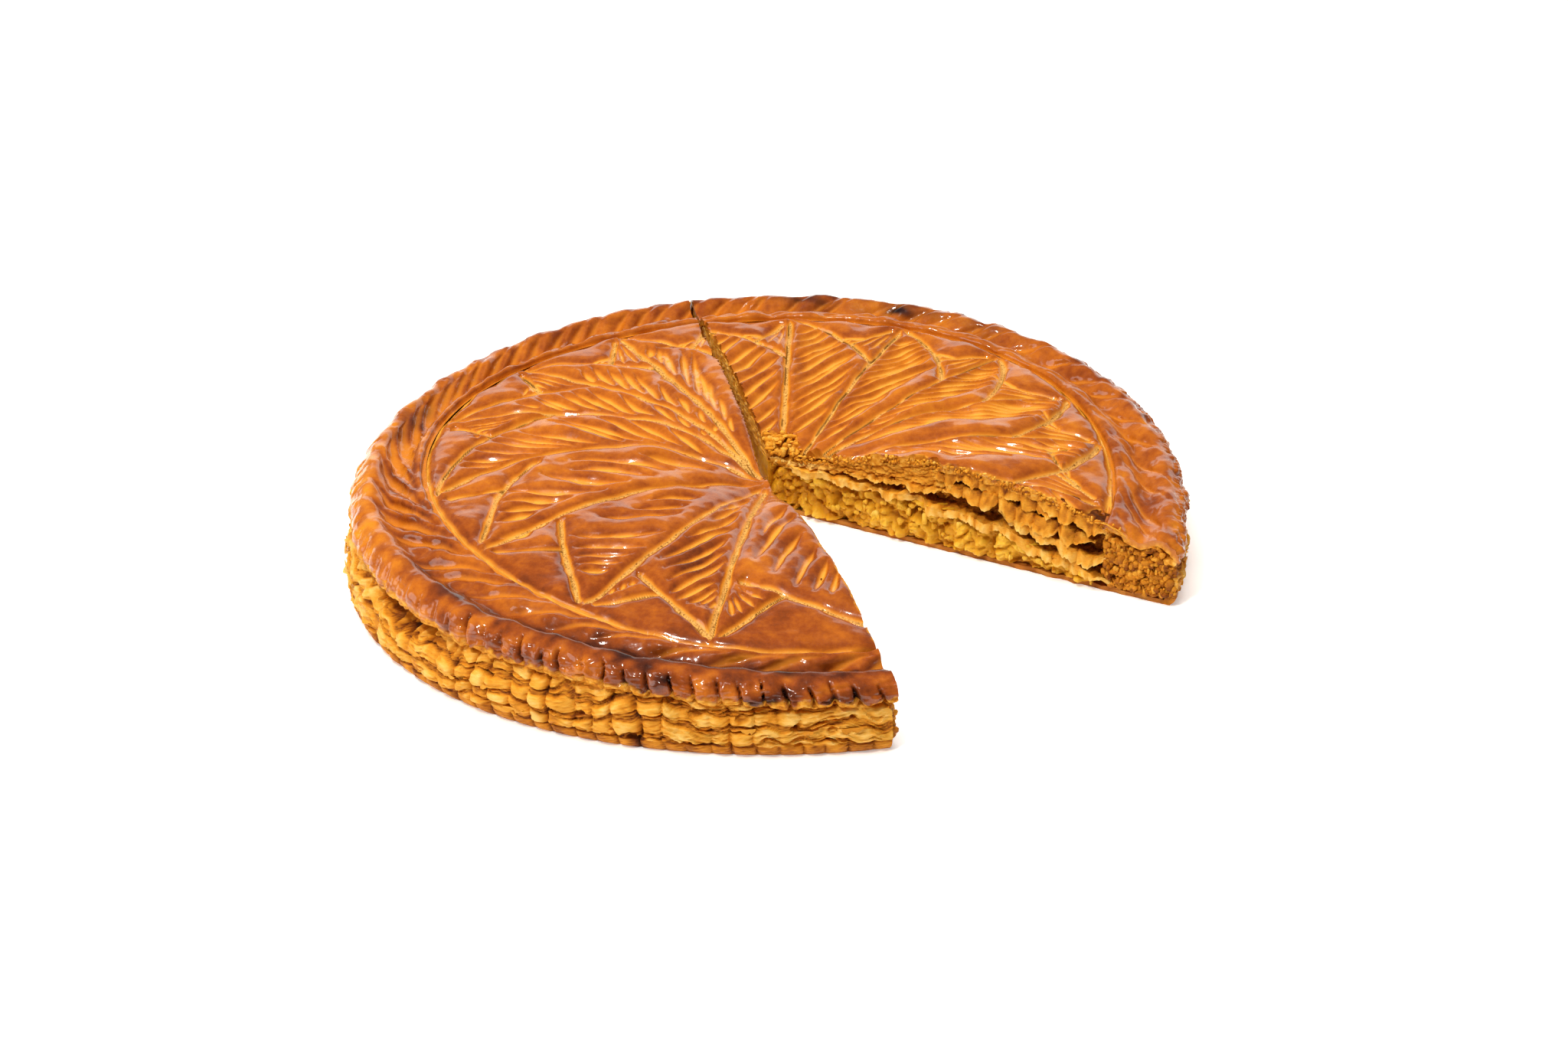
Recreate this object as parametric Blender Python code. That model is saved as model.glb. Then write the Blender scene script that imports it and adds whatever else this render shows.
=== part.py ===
"""Galette des rois, 26 cm across, cut in two by a knife and with one slice taken out.

Each of the two pieces is a puff pastry case, a base and a scored lid joined at the rim, with a
layer of almond filling that runs through it and shows at the cuts. The table is at z = 0, +Z is up
and the front of the cake is at -Y. Angles are counted anticlockwise from +X, seen from above.
"""

import math
from dataclasses import dataclass

import bmesh
import bpy
import numpy as np
from mathutils import Vector
from mathutils.geometry import delaunay_2d_cdt

MM = 0.001
DEGREE = math.pi / 180.0

# Plan of the cake: a mean radius and the waves that make it uneven, each wave as
# turns round the cake, cosine part and sine part
RIM_RADIUS = 130.6 * MM
RIM_WAVES = ((2, -0.4 * MM, 1.7 * MM), (3, -0.5 * MM, -1.1 * MM), (4, -0.8 * MM, 0.5 * MM))
BORDER_RADIUS = 106.5 * MM
BORDER_WAVES = ((1, 0.4 * MM, 1.0 * MM), (2, -1.6 * MM, 0.3 * MM), (3, -0.8 * MM, 2.0 * MM))
PLAN_SHIFT = (0.84 * MM, -1.30 * MM)

# Heights above the table: the crest of the rim, the scored border and the dome inside it
CREST_HEIGHT = 26.9 * MM
CREST_WAVES = ((1, -2.4 * MM, 3.7 * MM), (2, -0.5 * MM, 1.8 * MM))
BORDER_RISE = 0.8 * MM
BORDER_TILT = 0.3 * MM
CENTRE_HEIGHT = 24.0 * MM
DOME_RISE = 7.5 * MM
DIP_RADIUS = 26.0 * MM
DOME_POWER = 4.0

# The dark furrow between the border and the crest
FURROW_INSET = 13.5 * MM
FURROW_DEPTH = 3.2 * MM

# Rows down the outside of the rim: inset from the rim radius, share of the crest's height, and
# how far the finger marks bite in
RIM_ROWS = (
    (8.0 * MM, 1.00, 0.4 * MM),
    (3.4 * MM, 0.91, 1.3 * MM),
    (0.9 * MM, 0.70, 1.7 * MM),
    (2.9 * MM, 0.55, 0.6 * MM),
    (0.2 * MM, 0.27, 1.2 * MM),
    (1.2 * MM, 0.08, 1.0 * MM),
    (3.6 * MM, 0.00, 0.4 * MM),
)
UNDERCUT_ROW = 3
MARKS_ROUND = 122
MARK_EDGES = (0.0, 0.26, 0.78)
MARK_UNEVEN = 0.10
PAD_UNEVEN = 0.5 * MM

# Front left, the base stands out past the lid, and a seam gapes between them on the left
BULGE_ANGLE = 215.0 * DEGREE
BULGE_SPREAD = 38.0 * DEGREE
BULGE_SETBACK = 2.6 * MM
SEAM_ANGLE = 203.0 * DEGREE
SEAM_SPREAD = 22.0 * DEGREE
SEAM_DEPTH = 4.5 * MM

# Scored lines: half width and depth. Where they run is told as a share of the way to the
# border and an angle in degrees
BORDER_GROOVE = (1.3 * MM, 1.3 * MM)
MAIN_GROOVE = (1.25 * MM, 1.2 * MM)
VEIN_GROOVE = (0.95 * MM, 0.8 * MM)
SPINE_SHARES = (0.17, 0.965)
SPINE_POINTS = 12
SIDE_TIP = 0.985
SIDE_DROP = 0.27
SIDE_POWER = 1.25
SIDE_RUN = (0.09, 0.93)
SIDE_POINTS = 9
BASE_STARTS = (0.95, 2.2)
BASE_MEETS_SIDE = 0.58
BASE_SHORT = 2.2 * MM
VEIN_SHARES = (0.36, 0.47, 0.58, 0.68, 0.78)
VEIN_TURN = 50.0 * DEGREE
VEIN_REACH = 0.62
VEIN_LONGEST = 25.0 * MM
FAN_STROKES = 3
FAN_NEAR = (0.905, 1.4, 0.9)
FAN_FAR = (0.775, 3.4, 3.6)
FAN_STEP = 0.01
REACH_ROUNDS = 4
LINE_STEP = 10.0 * MM
LINE_CLEARANCE = 2.6 * MM
FIELD_STEP = 10.0 * MM
FIELD_CLEARANCE = 4.2 * MM
FIELD_TO_LINE = 2.5 * MM

# Case and filling
BASE_THICKNESS = 3.0 * MM
BASE_CIRCLES = ((0.86, 26), (0.6, 14), (0.3, 7))
FILLING_DEPTH = 14.0 * MM
FILLING_EDGE = 2.0 * MM
FILLING_RADIUS = 101.0 * MM
FILLING_POWER = 3.0
FIT_GAP = 0.3 * MM
CAVITY_STATIONS = 9
CAVITY_MARKS = 4

# Cut faces: spacing of the layers' points, how far they stand out or sink in
EDGE_STEP = 5.5 * MM
LAYER_STEP = 5.0 * MM
LAYER_SHARES = (0.18, 0.38, 0.58, 0.80)
LAYER_RELIEF = (0.6 * MM, -2.6 * MM, 0.8 * MM, -1.8 * MM)
LAYER_DRIFT = (1.0 * MM, 0.4 * MM)
RELIEF_UNEVEN = (0.4, 1.6)
CLOSED_RELIEF = 0.3
LID_RUNS_OUT = 8.0 * MM
RAGGED_EDGE = 1.0 * MM
CRUMB_STEP = 3.8 * MM
CRUMB_RELIEF = 1.7 * MM
CRUMB_DRIFT = 0.3
FACE_CLEARANCE = 1.0 * MM
BASE_EDGE_STEP = 22.0 * MM
LEVEL_EDGE = 1e-12
SNAP = 0.02 * MM
WELD = 0.001 * MM
SHARP_ANGLE = 38.0 * DEGREE

CRUST_COLOUR = (0.38, 0.125, 0.022, 1.0)
CRUST_ROUGHNESS = 0.32
FILLING_COLOUR = (0.60, 0.36, 0.07, 1.0)
FILLING_ROUGHNESS = 0.85


@dataclass(frozen=True)
class Leaf:
    """One scored leaf: the angle of its tip on the border and how its spine bends on the way."""
    tip: float
    bend: float


@dataclass(frozen=True)
class Piece:
    """One cut piece: where its knife cuts meet, the angles where they leave the rim, its scoring.

    The piece runs anticlockwise from start to end. A closed cut faces the other piece across the
    knife's width, so nothing stands out of it.
    """
    name: str
    apex: tuple
    start: float
    end: float
    start_closed: bool
    end_closed: bool
    tip_sag: float
    tip_sag_length: float
    centre: tuple
    leaves: tuple
    seed: int


LEFT = Piece(
    name="left",
    apex=(-0.7 * MM, -2.2 * MM),
    start=102.9 * DEGREE,
    end=286.3 * DEGREE,
    start_closed=True,
    end_closed=False,
    tip_sag=0.0,
    tip_sag_length=30.0 * MM,
    centre=(-0.5 * MM, -2.0 * MM),
    leaves=(
        Leaf(117.6, -2.0), Leaf(138.6, -20.0), Leaf(163.0, -42.0), Leaf(191.5, -50.0),
        Leaf(213.6, -15.0), Leaf(238.5, 3.0), Leaf(261.0, 0.0), Leaf(288.2, 0.0),
    ),
    seed=3,
)
RIGHT = Piece(
    name="right",
    apex=(-0.8 * MM, 27.3 * MM),
    start=-18.2 * DEGREE,
    end=102.5 * DEGREE,
    start_closed=False,
    end_closed=True,
    tip_sag=7.5 * MM,
    tip_sag_length=36.0 * MM,
    centre=(3.0 * MM, 8.0 * MM),
    leaves=(
        Leaf(-36.0, 0.0), Leaf(-14.0, 0.0), Leaf(8.0, 6.0), Leaf(25.0, 16.0),
        Leaf(45.0, 0.0), Leaf(66.0, 0.0), Leaf(88.0, 0.0), Leaf(110.0, 0.0),
    ),
    seed=7,
)


def clear_scene():
    """Remove whatever the file held before."""
    for thing in list(bpy.data.objects):
        bpy.data.objects.remove(thing, do_unlink=True)


def pastry_material(name, colour, roughness):
    """A Principled material of one colour."""
    material = bpy.data.materials.new(name)
    material.use_nodes = True
    shader = material.node_tree.nodes["Principled BSDF"]
    shader.inputs["Base Color"].default_value = colour
    shader.inputs["Roughness"].default_value = roughness
    shader.inputs["Metallic"].default_value = 0.0
    return material


def waved(angle, mean, waves):
    """A mean value plus its waves round the cake, at an angle."""
    return mean + sum(c * np.cos(n * angle) + s * np.sin(n * angle) for n, c, s in waves)


def bump(angle, middle, spread):
    """A smooth bump of height one round one angle."""
    away = (angle - middle + math.pi) % (2.0 * math.pi) - math.pi
    return np.exp(-((away / spread) ** 2))


def rim_radius(angle):
    """Radius of the rim at an angle."""
    return waved(angle, RIM_RADIUS, RIM_WAVES)


def border_radius(angle):
    """Radius of the scored border at an angle."""
    return waved(angle, BORDER_RADIUS, BORDER_WAVES)


def crest_height(angle):
    """Height of the rim's crest at an angle."""
    return waved(angle, CREST_HEIGHT, CREST_WAVES)


def border_height(angle):
    """Height of the scored border at an angle."""
    return crest_height(angle) + BORDER_RISE - BORDER_TILT * np.sin(angle)


def lid_height(piece, x, y):
    """Height of the unscored lid inside the border.

    The dome rises from a dip in the middle and falls to the border. A piece's tip may sag.
    """
    distance = np.hypot(x, y)
    angle = np.arctan2(y, x)
    dome = CENTRE_HEIGHT + DOME_RISE * (1.0 - np.exp(-((distance / DIP_RADIUS) ** 2)))
    outward = np.clip(distance / border_radius(angle), 0.0, 1.0) ** DOME_POWER
    sag = np.exp(-(np.hypot(x - piece.apex[0], y - piece.apex[1]) / piece.tip_sag_length) ** 2)
    return (1.0 - outward) * dome + outward * border_height(angle) - piece.tip_sag * sag


def ceiling_height(x, y):
    """Height of the lid's inner face, where the filling thins out towards the rim."""
    share = np.clip(np.hypot(x, y) / FILLING_RADIUS, 0.0, 1.0)
    lens = (FILLING_DEPTH - FILLING_EDGE) * (1.0 - share ** FILLING_POWER)
    return BASE_THICKNESS + FILLING_EDGE + lens


def ray(piece, angle, inset):
    """Plan point on the straight line from the rim at an angle to the piece's apex."""
    apex = np.array(piece.apex)
    rim = rim_radius(angle) * np.array((math.cos(angle), math.sin(angle)))
    inward = (apex - rim) / np.linalg.norm(apex - rim)
    return rim + inset * inward


def cut_frame(piece, at_start):
    """Direction of a cut from the apex, and the side it faces, both as plan vectors."""
    along = ray(piece, piece.start if at_start else piece.end, 0.0) - np.array(piece.apex)
    along /= np.linalg.norm(along)
    facing = np.array((along[1], -along[0])) * (1.0 if at_start else -1.0)
    return along, facing


def inside_piece(piece, points, margin):
    """Which plan points lie in the piece and clear of both cuts by the margin."""
    away = np.asarray(points) - np.array(piece.apex)
    distance = np.hypot(away[:, 0], away[:, 1]) + SNAP
    first = math.atan2(*cut_frame(piece, True)[0][::-1])
    last = math.atan2(*cut_frame(piece, False)[0][::-1])
    span = (last - first) % (2.0 * math.pi)
    turn = (np.arctan2(away[:, 1], away[:, 0]) - first) % (2.0 * math.pi)
    slack = np.minimum(margin / distance, span / 2.0)
    return (turn > slack) & (turn < span - slack)


def segment_distance(points, starts, ends):
    """Distance from each point to the nearest of some straight segments."""
    reach = ends - starts
    length = np.maximum((reach ** 2).sum(1), SNAP ** 2)
    offset = points[:, None, :] - starts[None, :, :]
    share = np.clip((offset * reach[None]).sum(2) / length[None], 0.0, 1.0)
    gap = offset - share[:, :, None] * reach[None]
    return np.sqrt((gap ** 2).sum(2)).min(1)


def inside_outline(points, outline):
    """Which flat points lie in a closed outline, by counting its crossings to the right."""
    a = outline[None, :, :]
    b = np.roll(outline, -1, axis=0)[None, :, :]
    x, y = points[:, 0, None], points[:, 1, None]
    rise = b[..., 1] - a[..., 1]
    safe = np.where(np.abs(rise) < LEVEL_EDGE, LEVEL_EDGE, rise)
    across = a[..., 0] + (y - a[..., 1]) / safe * (b[..., 0] - a[..., 0])
    crossed = ((a[..., 1] > y) != (b[..., 1] > y)) & (x < across)
    return crossed.sum(1) % 2 == 1


class Shell:
    """Surface patches of one piece, welded into one closed body at the end."""

    def __init__(self):
        self.points = []
        self.faces = []

    def add(self, points, faces):
        """Take points and the faces between them."""
        first = len(self.points)
        self.points.extend(tuple(float(value) for value in point) for point in points)
        self.faces.extend(tuple(first + index for index in face) for face in faces)

    def band(self, one, other):
        """Four-sided faces between two rows with as many points each."""
        count = len(one)
        faces = [(i, i + 1, count + i + 1, count + i) for i in range(count - 1)]
        self.add(list(one) + list(other), faces)

    def fan(self, tip, row):
        """Triangles from one point to a row."""
        self.add([tip] + list(row), [(0, i + 1, i + 2) for i in range(len(row) - 1)])

    def stitch(self, coarse, fine):
        """Triangles between a row and one with three times as many steps."""
        count = len(coarse)
        faces = []
        for i in range(count - 1):
            f = count + 3 * i
            faces += [(i, f, f + 1), (i, f + 1, f + 2), (i, f + 2, i + 1), (i + 1, f + 2, f + 3)]
        self.add(list(coarse) + list(fine), faces)

    def fill(self, outline, flat_outline, inner, flat_inner, edges, place):
        """Triangles inside a closed outline, with inner points and the edges between them.

        The flat points are what is divided; place turns a flat point that the division
        adds into a point in space.
        """
        count = len(outline)
        flat = np.vstack([flat_outline, flat_inner]) if len(flat_inner) else flat_outline
        solid = list(outline) + list(inner)
        rim = [(i, (i + 1) % count) for i in range(count)]
        inside = [(count + a, count + b) for a, b in edges]
        flat_vectors = [Vector((p[0], p[1])) for p in flat]
        found, _, faces, sources, _, _ = delaunay_2d_cdt(flat_vectors, rim + inside, [], 1, SNAP)
        points = [solid[min(s)] if s else place(f[0], f[1]) for f, s in zip(found, sources)]
        self.add(points, faces)

    def build(self, name, material):
        """Weld the patches and make the object, its faces pointing out."""
        mesh = bpy.data.meshes.new(name)
        shift = (PLAN_SHIFT[0], PLAN_SHIFT[1], 0.0)
        mesh.from_pydata([tuple(np.add(p, shift)) for p in self.points], [], self.faces)
        work = bmesh.new()
        work.from_mesh(mesh)
        bmesh.ops.remove_doubles(work, verts=work.verts, dist=WELD)
        bmesh.ops.recalc_face_normals(work, faces=work.faces)
        work.to_mesh(mesh)
        work.free()
        mesh.materials.append(material)
        mesh.shade_smooth()
        mesh.set_sharp_from_angle(angle=SHARP_ANGLE)
        thing = bpy.data.objects.new(name, mesh)
        bpy.context.scene.collection.objects.link(thing)
        return thing


class Scoring:
    """The leaves cut into a piece's lid: chains of points with the depth of the cut at each."""

    def __init__(self, piece):
        self.piece = piece
        self.points = []
        self.drops = []
        self.edges = []
        for before, leaf in zip(piece.leaves, piece.leaves[1:]):
            self.score_leaf(before, leaf)
        self.score_spine(piece.leaves[0])

    def at(self, share, degrees):
        """Plan point a share of the way from the rosette's centre to the border."""
        centre = np.array(self.piece.centre)
        along = np.array((math.cos(degrees * DEGREE), math.sin(degrees * DEGREE)))
        reach = BORDER_RADIUS
        for _ in range(REACH_ROUNDS):
            edge = centre + reach * along
            reach += border_radius(math.atan2(edge[1], edge[0])) - np.hypot(*edge)
        return centre + share * reach * along

    def spine_angle(self, leaf, share):
        """Angle of a leaf's spine a share of the way to the border."""
        return leaf.tip + leaf.bend * (1.0 - share)

    def side_point(self, before, leaf, run):
        """Point on a leaf's side line, from its own tip to the spine of the leaf before."""
        foot = self.spine_angle(before, 1.0 - SIDE_DROP)
        share = SIDE_TIP - SIDE_DROP * run ** SIDE_POWER
        return self.at(share, leaf.tip + (foot - leaf.tip) * run)

    def score_spine(self, leaf):
        """The line down the middle of a leaf."""
        shares = np.linspace(*SPINE_SHARES, SPINE_POINTS)
        self.groove([self.at(s, self.spine_angle(leaf, s)) for s in shares], MAIN_GROOVE)

    def score_leaf(self, before, leaf):
        """Spine, side, base, veins and the fan at the tip of the leaf before."""
        self.score_spine(leaf)
        runs = np.linspace(*SIDE_RUN, SIDE_POINTS)
        self.groove([self.side_point(before, leaf, run) for run in runs], MAIN_GROOVE)
        start = self.at(BASE_STARTS[0], before.tip + BASE_STARTS[1])
        base = self.side_point(before, leaf, BASE_MEETS_SIDE) - start
        share = 1.0 - BASE_SHORT / np.linalg.norm(base)
        self.groove([start, start + share * base], MAIN_GROOVE)
        for share in VEIN_SHARES:
            self.score_vein(before, leaf, share)
        for stroke in range(FAN_STROKES):
            share, turn, spread = FAN_NEAR
            near = self.at(share, before.tip + turn + spread * stroke)
            share, turn, spread = FAN_FAR
            foot = self.spine_angle(before, share)
            far = self.at(share + FAN_STEP * stroke, foot + turn + spread * stroke)
            self.groove([near, far], VEIN_GROOVE)

    def score_vein(self, before, leaf, share):
        """One stroke from the spine, slanting out towards the leaf before."""
        start_angle = self.spine_angle(leaf, share)
        spine = self.at(share, start_angle)
        if share > 1.0 - SIDE_DROP:
            run = ((SIDE_TIP - share) / SIDE_DROP) ** (1.0 / SIDE_POWER)
            across = spine - self.side_point(before, leaf, run)
        else:
            across = spine - self.at(share, self.spine_angle(before, share))
        turn = (start_angle * DEGREE) - VEIN_TURN
        along = np.array((math.cos(turn), math.sin(turn)))
        length = min(np.hypot(*across) * VEIN_REACH / math.sin(VEIN_TURN), VEIN_LONGEST)
        start = spine + LINE_CLEARANCE / math.sin(VEIN_TURN) * along
        self.groove([start, start + length * along], VEIN_GROOVE)

    def groove(self, corners, size):
        """A cut with sloping sides along a line, left out where the line leaves the piece."""
        half_width, depth = size
        fine = resample(np.array(corners), MM)
        distance = np.hypot(fine[:, 0], fine[:, 1])
        border = border_radius(np.arctan2(fine[:, 1], fine[:, 0]))
        fits = inside_piece(self.piece, fine, 2.0 * half_width + MM)
        fits &= distance < border - BORDER_GROOVE[0] - MM
        kept = longest_run(fine, fits)
        if len(kept) * MM < 3.0 * half_width:
            return
        middle = resample(kept, LINE_STEP)
        if len(middle) < 3:
            middle = np.array((middle[0], (middle[0] + middle[-1]) / 2.0, middle[-1]))
        tangent = np.gradient(middle, axis=0)
        tangent /= np.linalg.norm(tangent, axis=1)[:, None]
        across = np.stack([-tangent[:, 1], tangent[:, 0]], 1) * half_width
        self.chain(middle, [0.0] + [depth] * (len(middle) - 2) + [0.0])
        for side in (1.0, -1.0):
            lip = middle + side * across
            lip[0], lip[-1] = middle[0], middle[-1]
            self.chain(lip, [0.0] * len(lip))

    def chain(self, points, drops):
        """Keep a run of points and the edges that join them."""
        first = len(self.points)
        self.points.extend(points)
        self.drops.extend(drops)
        self.edges.extend((first + i, first + i + 1) for i in range(len(points) - 1))

    def field_points(self):
        """Points between the lines that carry the lid's dome, on a staggered grid."""
        steps = np.arange(-BORDER_RADIUS, BORDER_RADIUS, FIELD_STEP)
        x, y = np.meshgrid(steps, steps)
        x = x + (np.arange(len(steps)) % 2)[:, None] * FIELD_STEP / 2.0
        grid = np.stack([x.ravel(), y.ravel()], 1)
        border = border_radius(np.arctan2(grid[:, 1], grid[:, 0]))
        fits = inside_piece(self.piece, grid, FIELD_CLEARANCE)
        fits &= np.hypot(grid[:, 0], grid[:, 1]) < border - FIELD_CLEARANCE
        lines = np.array(self.points)
        starts = lines[[a for a, _ in self.edges]]
        ends = lines[[b for _, b in self.edges]]
        fits &= segment_distance(grid, starts, ends) > FIELD_TO_LINE
        return grid[fits]


def resample(points, step):
    """Points along a line at an even spacing close to the step, the ends kept."""
    legs = np.linalg.norm(np.diff(points, axis=0), axis=1)
    run = np.concatenate([[0.0], np.cumsum(legs)])
    count = max(int(round(run[-1] / step)), 1)
    even = np.linspace(0.0, run[-1], count + 1)
    return np.stack([np.interp(even, run, points[:, axis]) for axis in range(points.shape[1])], 1)


def longest_run(points, fits):
    """The longest unbroken run of points that fit."""
    best, current = [], []
    for point, good in zip(points, fits):
        current = current + [point] if good else []
        best = current if len(current) > len(best) else best
    return np.array(best)


class Case:
    """The pastry case of one piece, from the scored lid round the rim to the flat base."""

    def __init__(self, piece):
        self.piece = piece
        self.random = np.random.default_rng(piece.seed)
        self.shell = Shell()
        span = piece.end - piece.start
        self.marks = int(round(span / (2.0 * math.pi) * MARKS_ROUND))
        uneven = self.random.uniform(-MARK_UNEVEN, MARK_UNEVEN, self.marks + 1)
        uneven[[0, -1]] = 0.0
        self.mark_angles = piece.start + (np.arange(self.marks + 1) + uneven) * span / self.marks

    def rim_columns(self):
        """Angle, bite of the finger marks and unevenness of each column of the rim."""
        columns = []
        for mark in range(self.marks):
            width = self.mark_angles[mark + 1] - self.mark_angles[mark]
            uneven = self.random.uniform(-PAD_UNEVEN, PAD_UNEVEN)
            for place, edge in enumerate(MARK_EDGES):
                bite = 1.0 if place == 0 and mark else 0.0
                columns.append((self.mark_angles[mark] + edge * width, bite, uneven))
        columns.append((self.mark_angles[-1], 0.0, 0.0))
        columns[0] = (self.mark_angles[0], 0.0, 0.0)
        return columns

    def rim_rows(self):
        """The rows down the outside of the rim, each a list of points."""
        rows = []
        columns = self.rim_columns()
        for index, (inset, share, mark_depth) in enumerate(RIM_ROWS):
            row = []
            for angle, bite, uneven in columns:
                depth = inset + bite * mark_depth + (uneven if 0.0 < share < 1.0 else 0.0)
                if share > 0.5:
                    depth += BULGE_SETBACK * bump(angle, BULGE_ANGLE, BULGE_SPREAD)
                if index == UNDERCUT_ROW:
                    depth += SEAM_DEPTH * bump(angle, SEAM_ANGLE, SEAM_SPREAD)
                x, y = ray(self.piece, angle, depth)
                row.append((x, y, share * crest_height(angle)))
            rows.append(row)
        return rows

    def border_inset(self, angle):
        """How far the scored border lies inside the rim."""
        return rim_radius(angle) - border_radius(angle)

    def ring_rows(self):
        """The rows of the scored border and the furrow, from the inside out."""
        half_width, depth = BORDER_GROOVE
        rows = []
        for offset, drop in ((half_width, 0.0), (0.0, depth), (-half_width, 0.0)):
            row = []
            for angle in self.mark_angles:
                x, y = ray(self.piece, angle, self.border_inset(angle) + offset)
                row.append((x, y, border_height(angle) - drop))
            rows.append(row)
        furrow = []
        for angle in self.mark_angles:
            inset = FURROW_INSET + BULGE_SETBACK * bump(angle, BULGE_ANGLE, BULGE_SPREAD)
            x, y = ray(self.piece, angle, inset)
            furrow.append((x, y, crest_height(angle) - FURROW_DEPTH))
        rows.append(furrow)
        rows[0] = [(x, y, lid_height(self.piece, x, y)) for x, y, _ in rows[0]]
        return rows

    def lid_edge(self, at_start, end_point):
        """Points along the lid's cut edge, from the apex to the border, ragged on an open cut."""
        along, facing = cut_frame(self.piece, at_start)
        closed = self.piece.start_closed if at_start else self.piece.end_closed
        apex = np.array(self.piece.apex)
        length = np.linalg.norm(np.array(end_point[:2]) - apex)
        stations = np.linspace(0.0, length, int(length / EDGE_STEP) + 1)
        ragged = self.random.uniform(0.0, 0.0 if closed else RAGGED_EDGE, len(stations))
        ragged[[0, -1]] = 0.0
        edge = []
        for station, wobble in zip(stations, ragged):
            x, y = apex + station * along - wobble * facing
            edge.append((x, y, lid_height(self.piece, x, y)))
        edge[-1] = tuple(end_point)
        return edge

    def base_edge(self, end_point):
        """Points along the base's cut edge, from the apex to the rim."""
        ends = np.array(((*self.piece.apex, 0.0), end_point))
        return [tuple(point) for point in resample(ends, BASE_EDGE_STEP)]

    def make_lid(self, start_edge, end_edge, border):
        """The scored lid inside the border."""
        scoring = Scoring(self.piece)
        outline = start_edge + list(border[1:-1]) + end_edge[::-1][:-1]
        field = scoring.field_points()
        flat_inner = np.vstack([np.array(scoring.points), field])
        drops = np.concatenate([scoring.drops, np.zeros(len(field))])
        heights = lid_height(self.piece, flat_inner[:, 0], flat_inner[:, 1]) - drops
        inner = np.column_stack([flat_inner, heights])

        def place(x, y):
            return (x, y, float(lid_height(self.piece, x, y)) - VEIN_GROOVE[1] / 2.0)

        flat_outline = np.array(outline)[:, :2]
        self.shell.fill(outline, flat_outline, inner, flat_inner, scoring.edges, place)

    def make_base(self, start_edge, end_edge, rim):
        """The flat underside."""
        outline = start_edge + list(rim[1:-1]) + end_edge[::-1][:-1]
        circles = []
        for share, count in BASE_CIRCLES:
            turn = np.linspace(0.0, 2.0 * math.pi, count, endpoint=False)
            circles.append(share * RIM_RADIUS * np.stack([np.cos(turn), np.sin(turn)], 1))
        flat = np.vstack(circles)
        flat = flat[inside_piece(self.piece, flat, FIELD_STEP)]
        inner = np.column_stack([flat, np.zeros(len(flat))])
        self.shell.fill(outline, np.array(outline)[:, :2], inner, flat, [], lambda x, y: (x, y, 0.0))

    def make_cut(self, at_start, top, rim, base, floor, ceiling):
        """One cut face of the case: a flat C, its layers standing out and sinking in."""
        piece = self.piece
        along, facing = cut_frame(piece, at_start)
        closed = piece.start_closed if at_start else piece.end_closed
        outline = list(top) + list(rim) + base[::-1] + list(floor) + list(ceiling)[::-1]
        solid = np.array(outline)
        apex = np.array(piece.apex)
        flat_outline = np.column_stack([(solid[:, :2] - apex) @ along, solid[:, 2]])
        candidates, reliefs = self.layer_points(flat_outline, along, closed)
        inner = [
            (*(apex + d * along + relief * facing), z) for (d, z), relief in zip(candidates, reliefs)
        ]

        def place(d, z):
            return (*(apex + d * along), z)

        self.shell.fill(outline, flat_outline, inner, candidates, [], place)

    def layer_points(self, flat_outline, along, closed):
        """Points in the cut's plane on the layers of the lid, and how far each stands out."""
        apex = np.array(self.piece.apex)
        run = np.arange(LAYER_STEP, flat_outline[:, 0].max(), LAYER_STEP)
        flat, relief = [], []
        for row, (share, stand_out) in enumerate(zip(LAYER_SHARES, LAYER_RELIEF)):
            for d in run + (row % 2) * LAYER_STEP / 2.0:
                x, y = apex + d * along
                angle = math.atan2(y, x)
                beyond = (math.hypot(x, y) - border_radius(angle)) / LID_RUNS_OUT
                beyond = np.clip(beyond, 0.0, 1.0)
                top = lid_height(self.piece, x, y) * (1 - beyond) + crest_height(angle) * beyond
                low = ceiling_height(x, y) * (1 - beyond)
                drift = self.random.uniform(-1.0, 1.0, 2) * LAYER_DRIFT
                flat.append((d + drift[0], low + share * (top - low) + drift[1]))
                uneven = self.random.uniform(*RELIEF_UNEVEN) * stand_out
                relief.append(min(uneven, 0.0) * CLOSED_RELIEF if closed else uneven)
        flat, relief = np.array(flat), np.array(relief)
        fits = inside_outline(flat, flat_outline)
        gap = segment_distance(flat, flat_outline, np.roll(flat_outline, -1, axis=0))
        fits &= gap > FACE_CLEARANCE
        return flat[fits], relief[fits]

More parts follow.
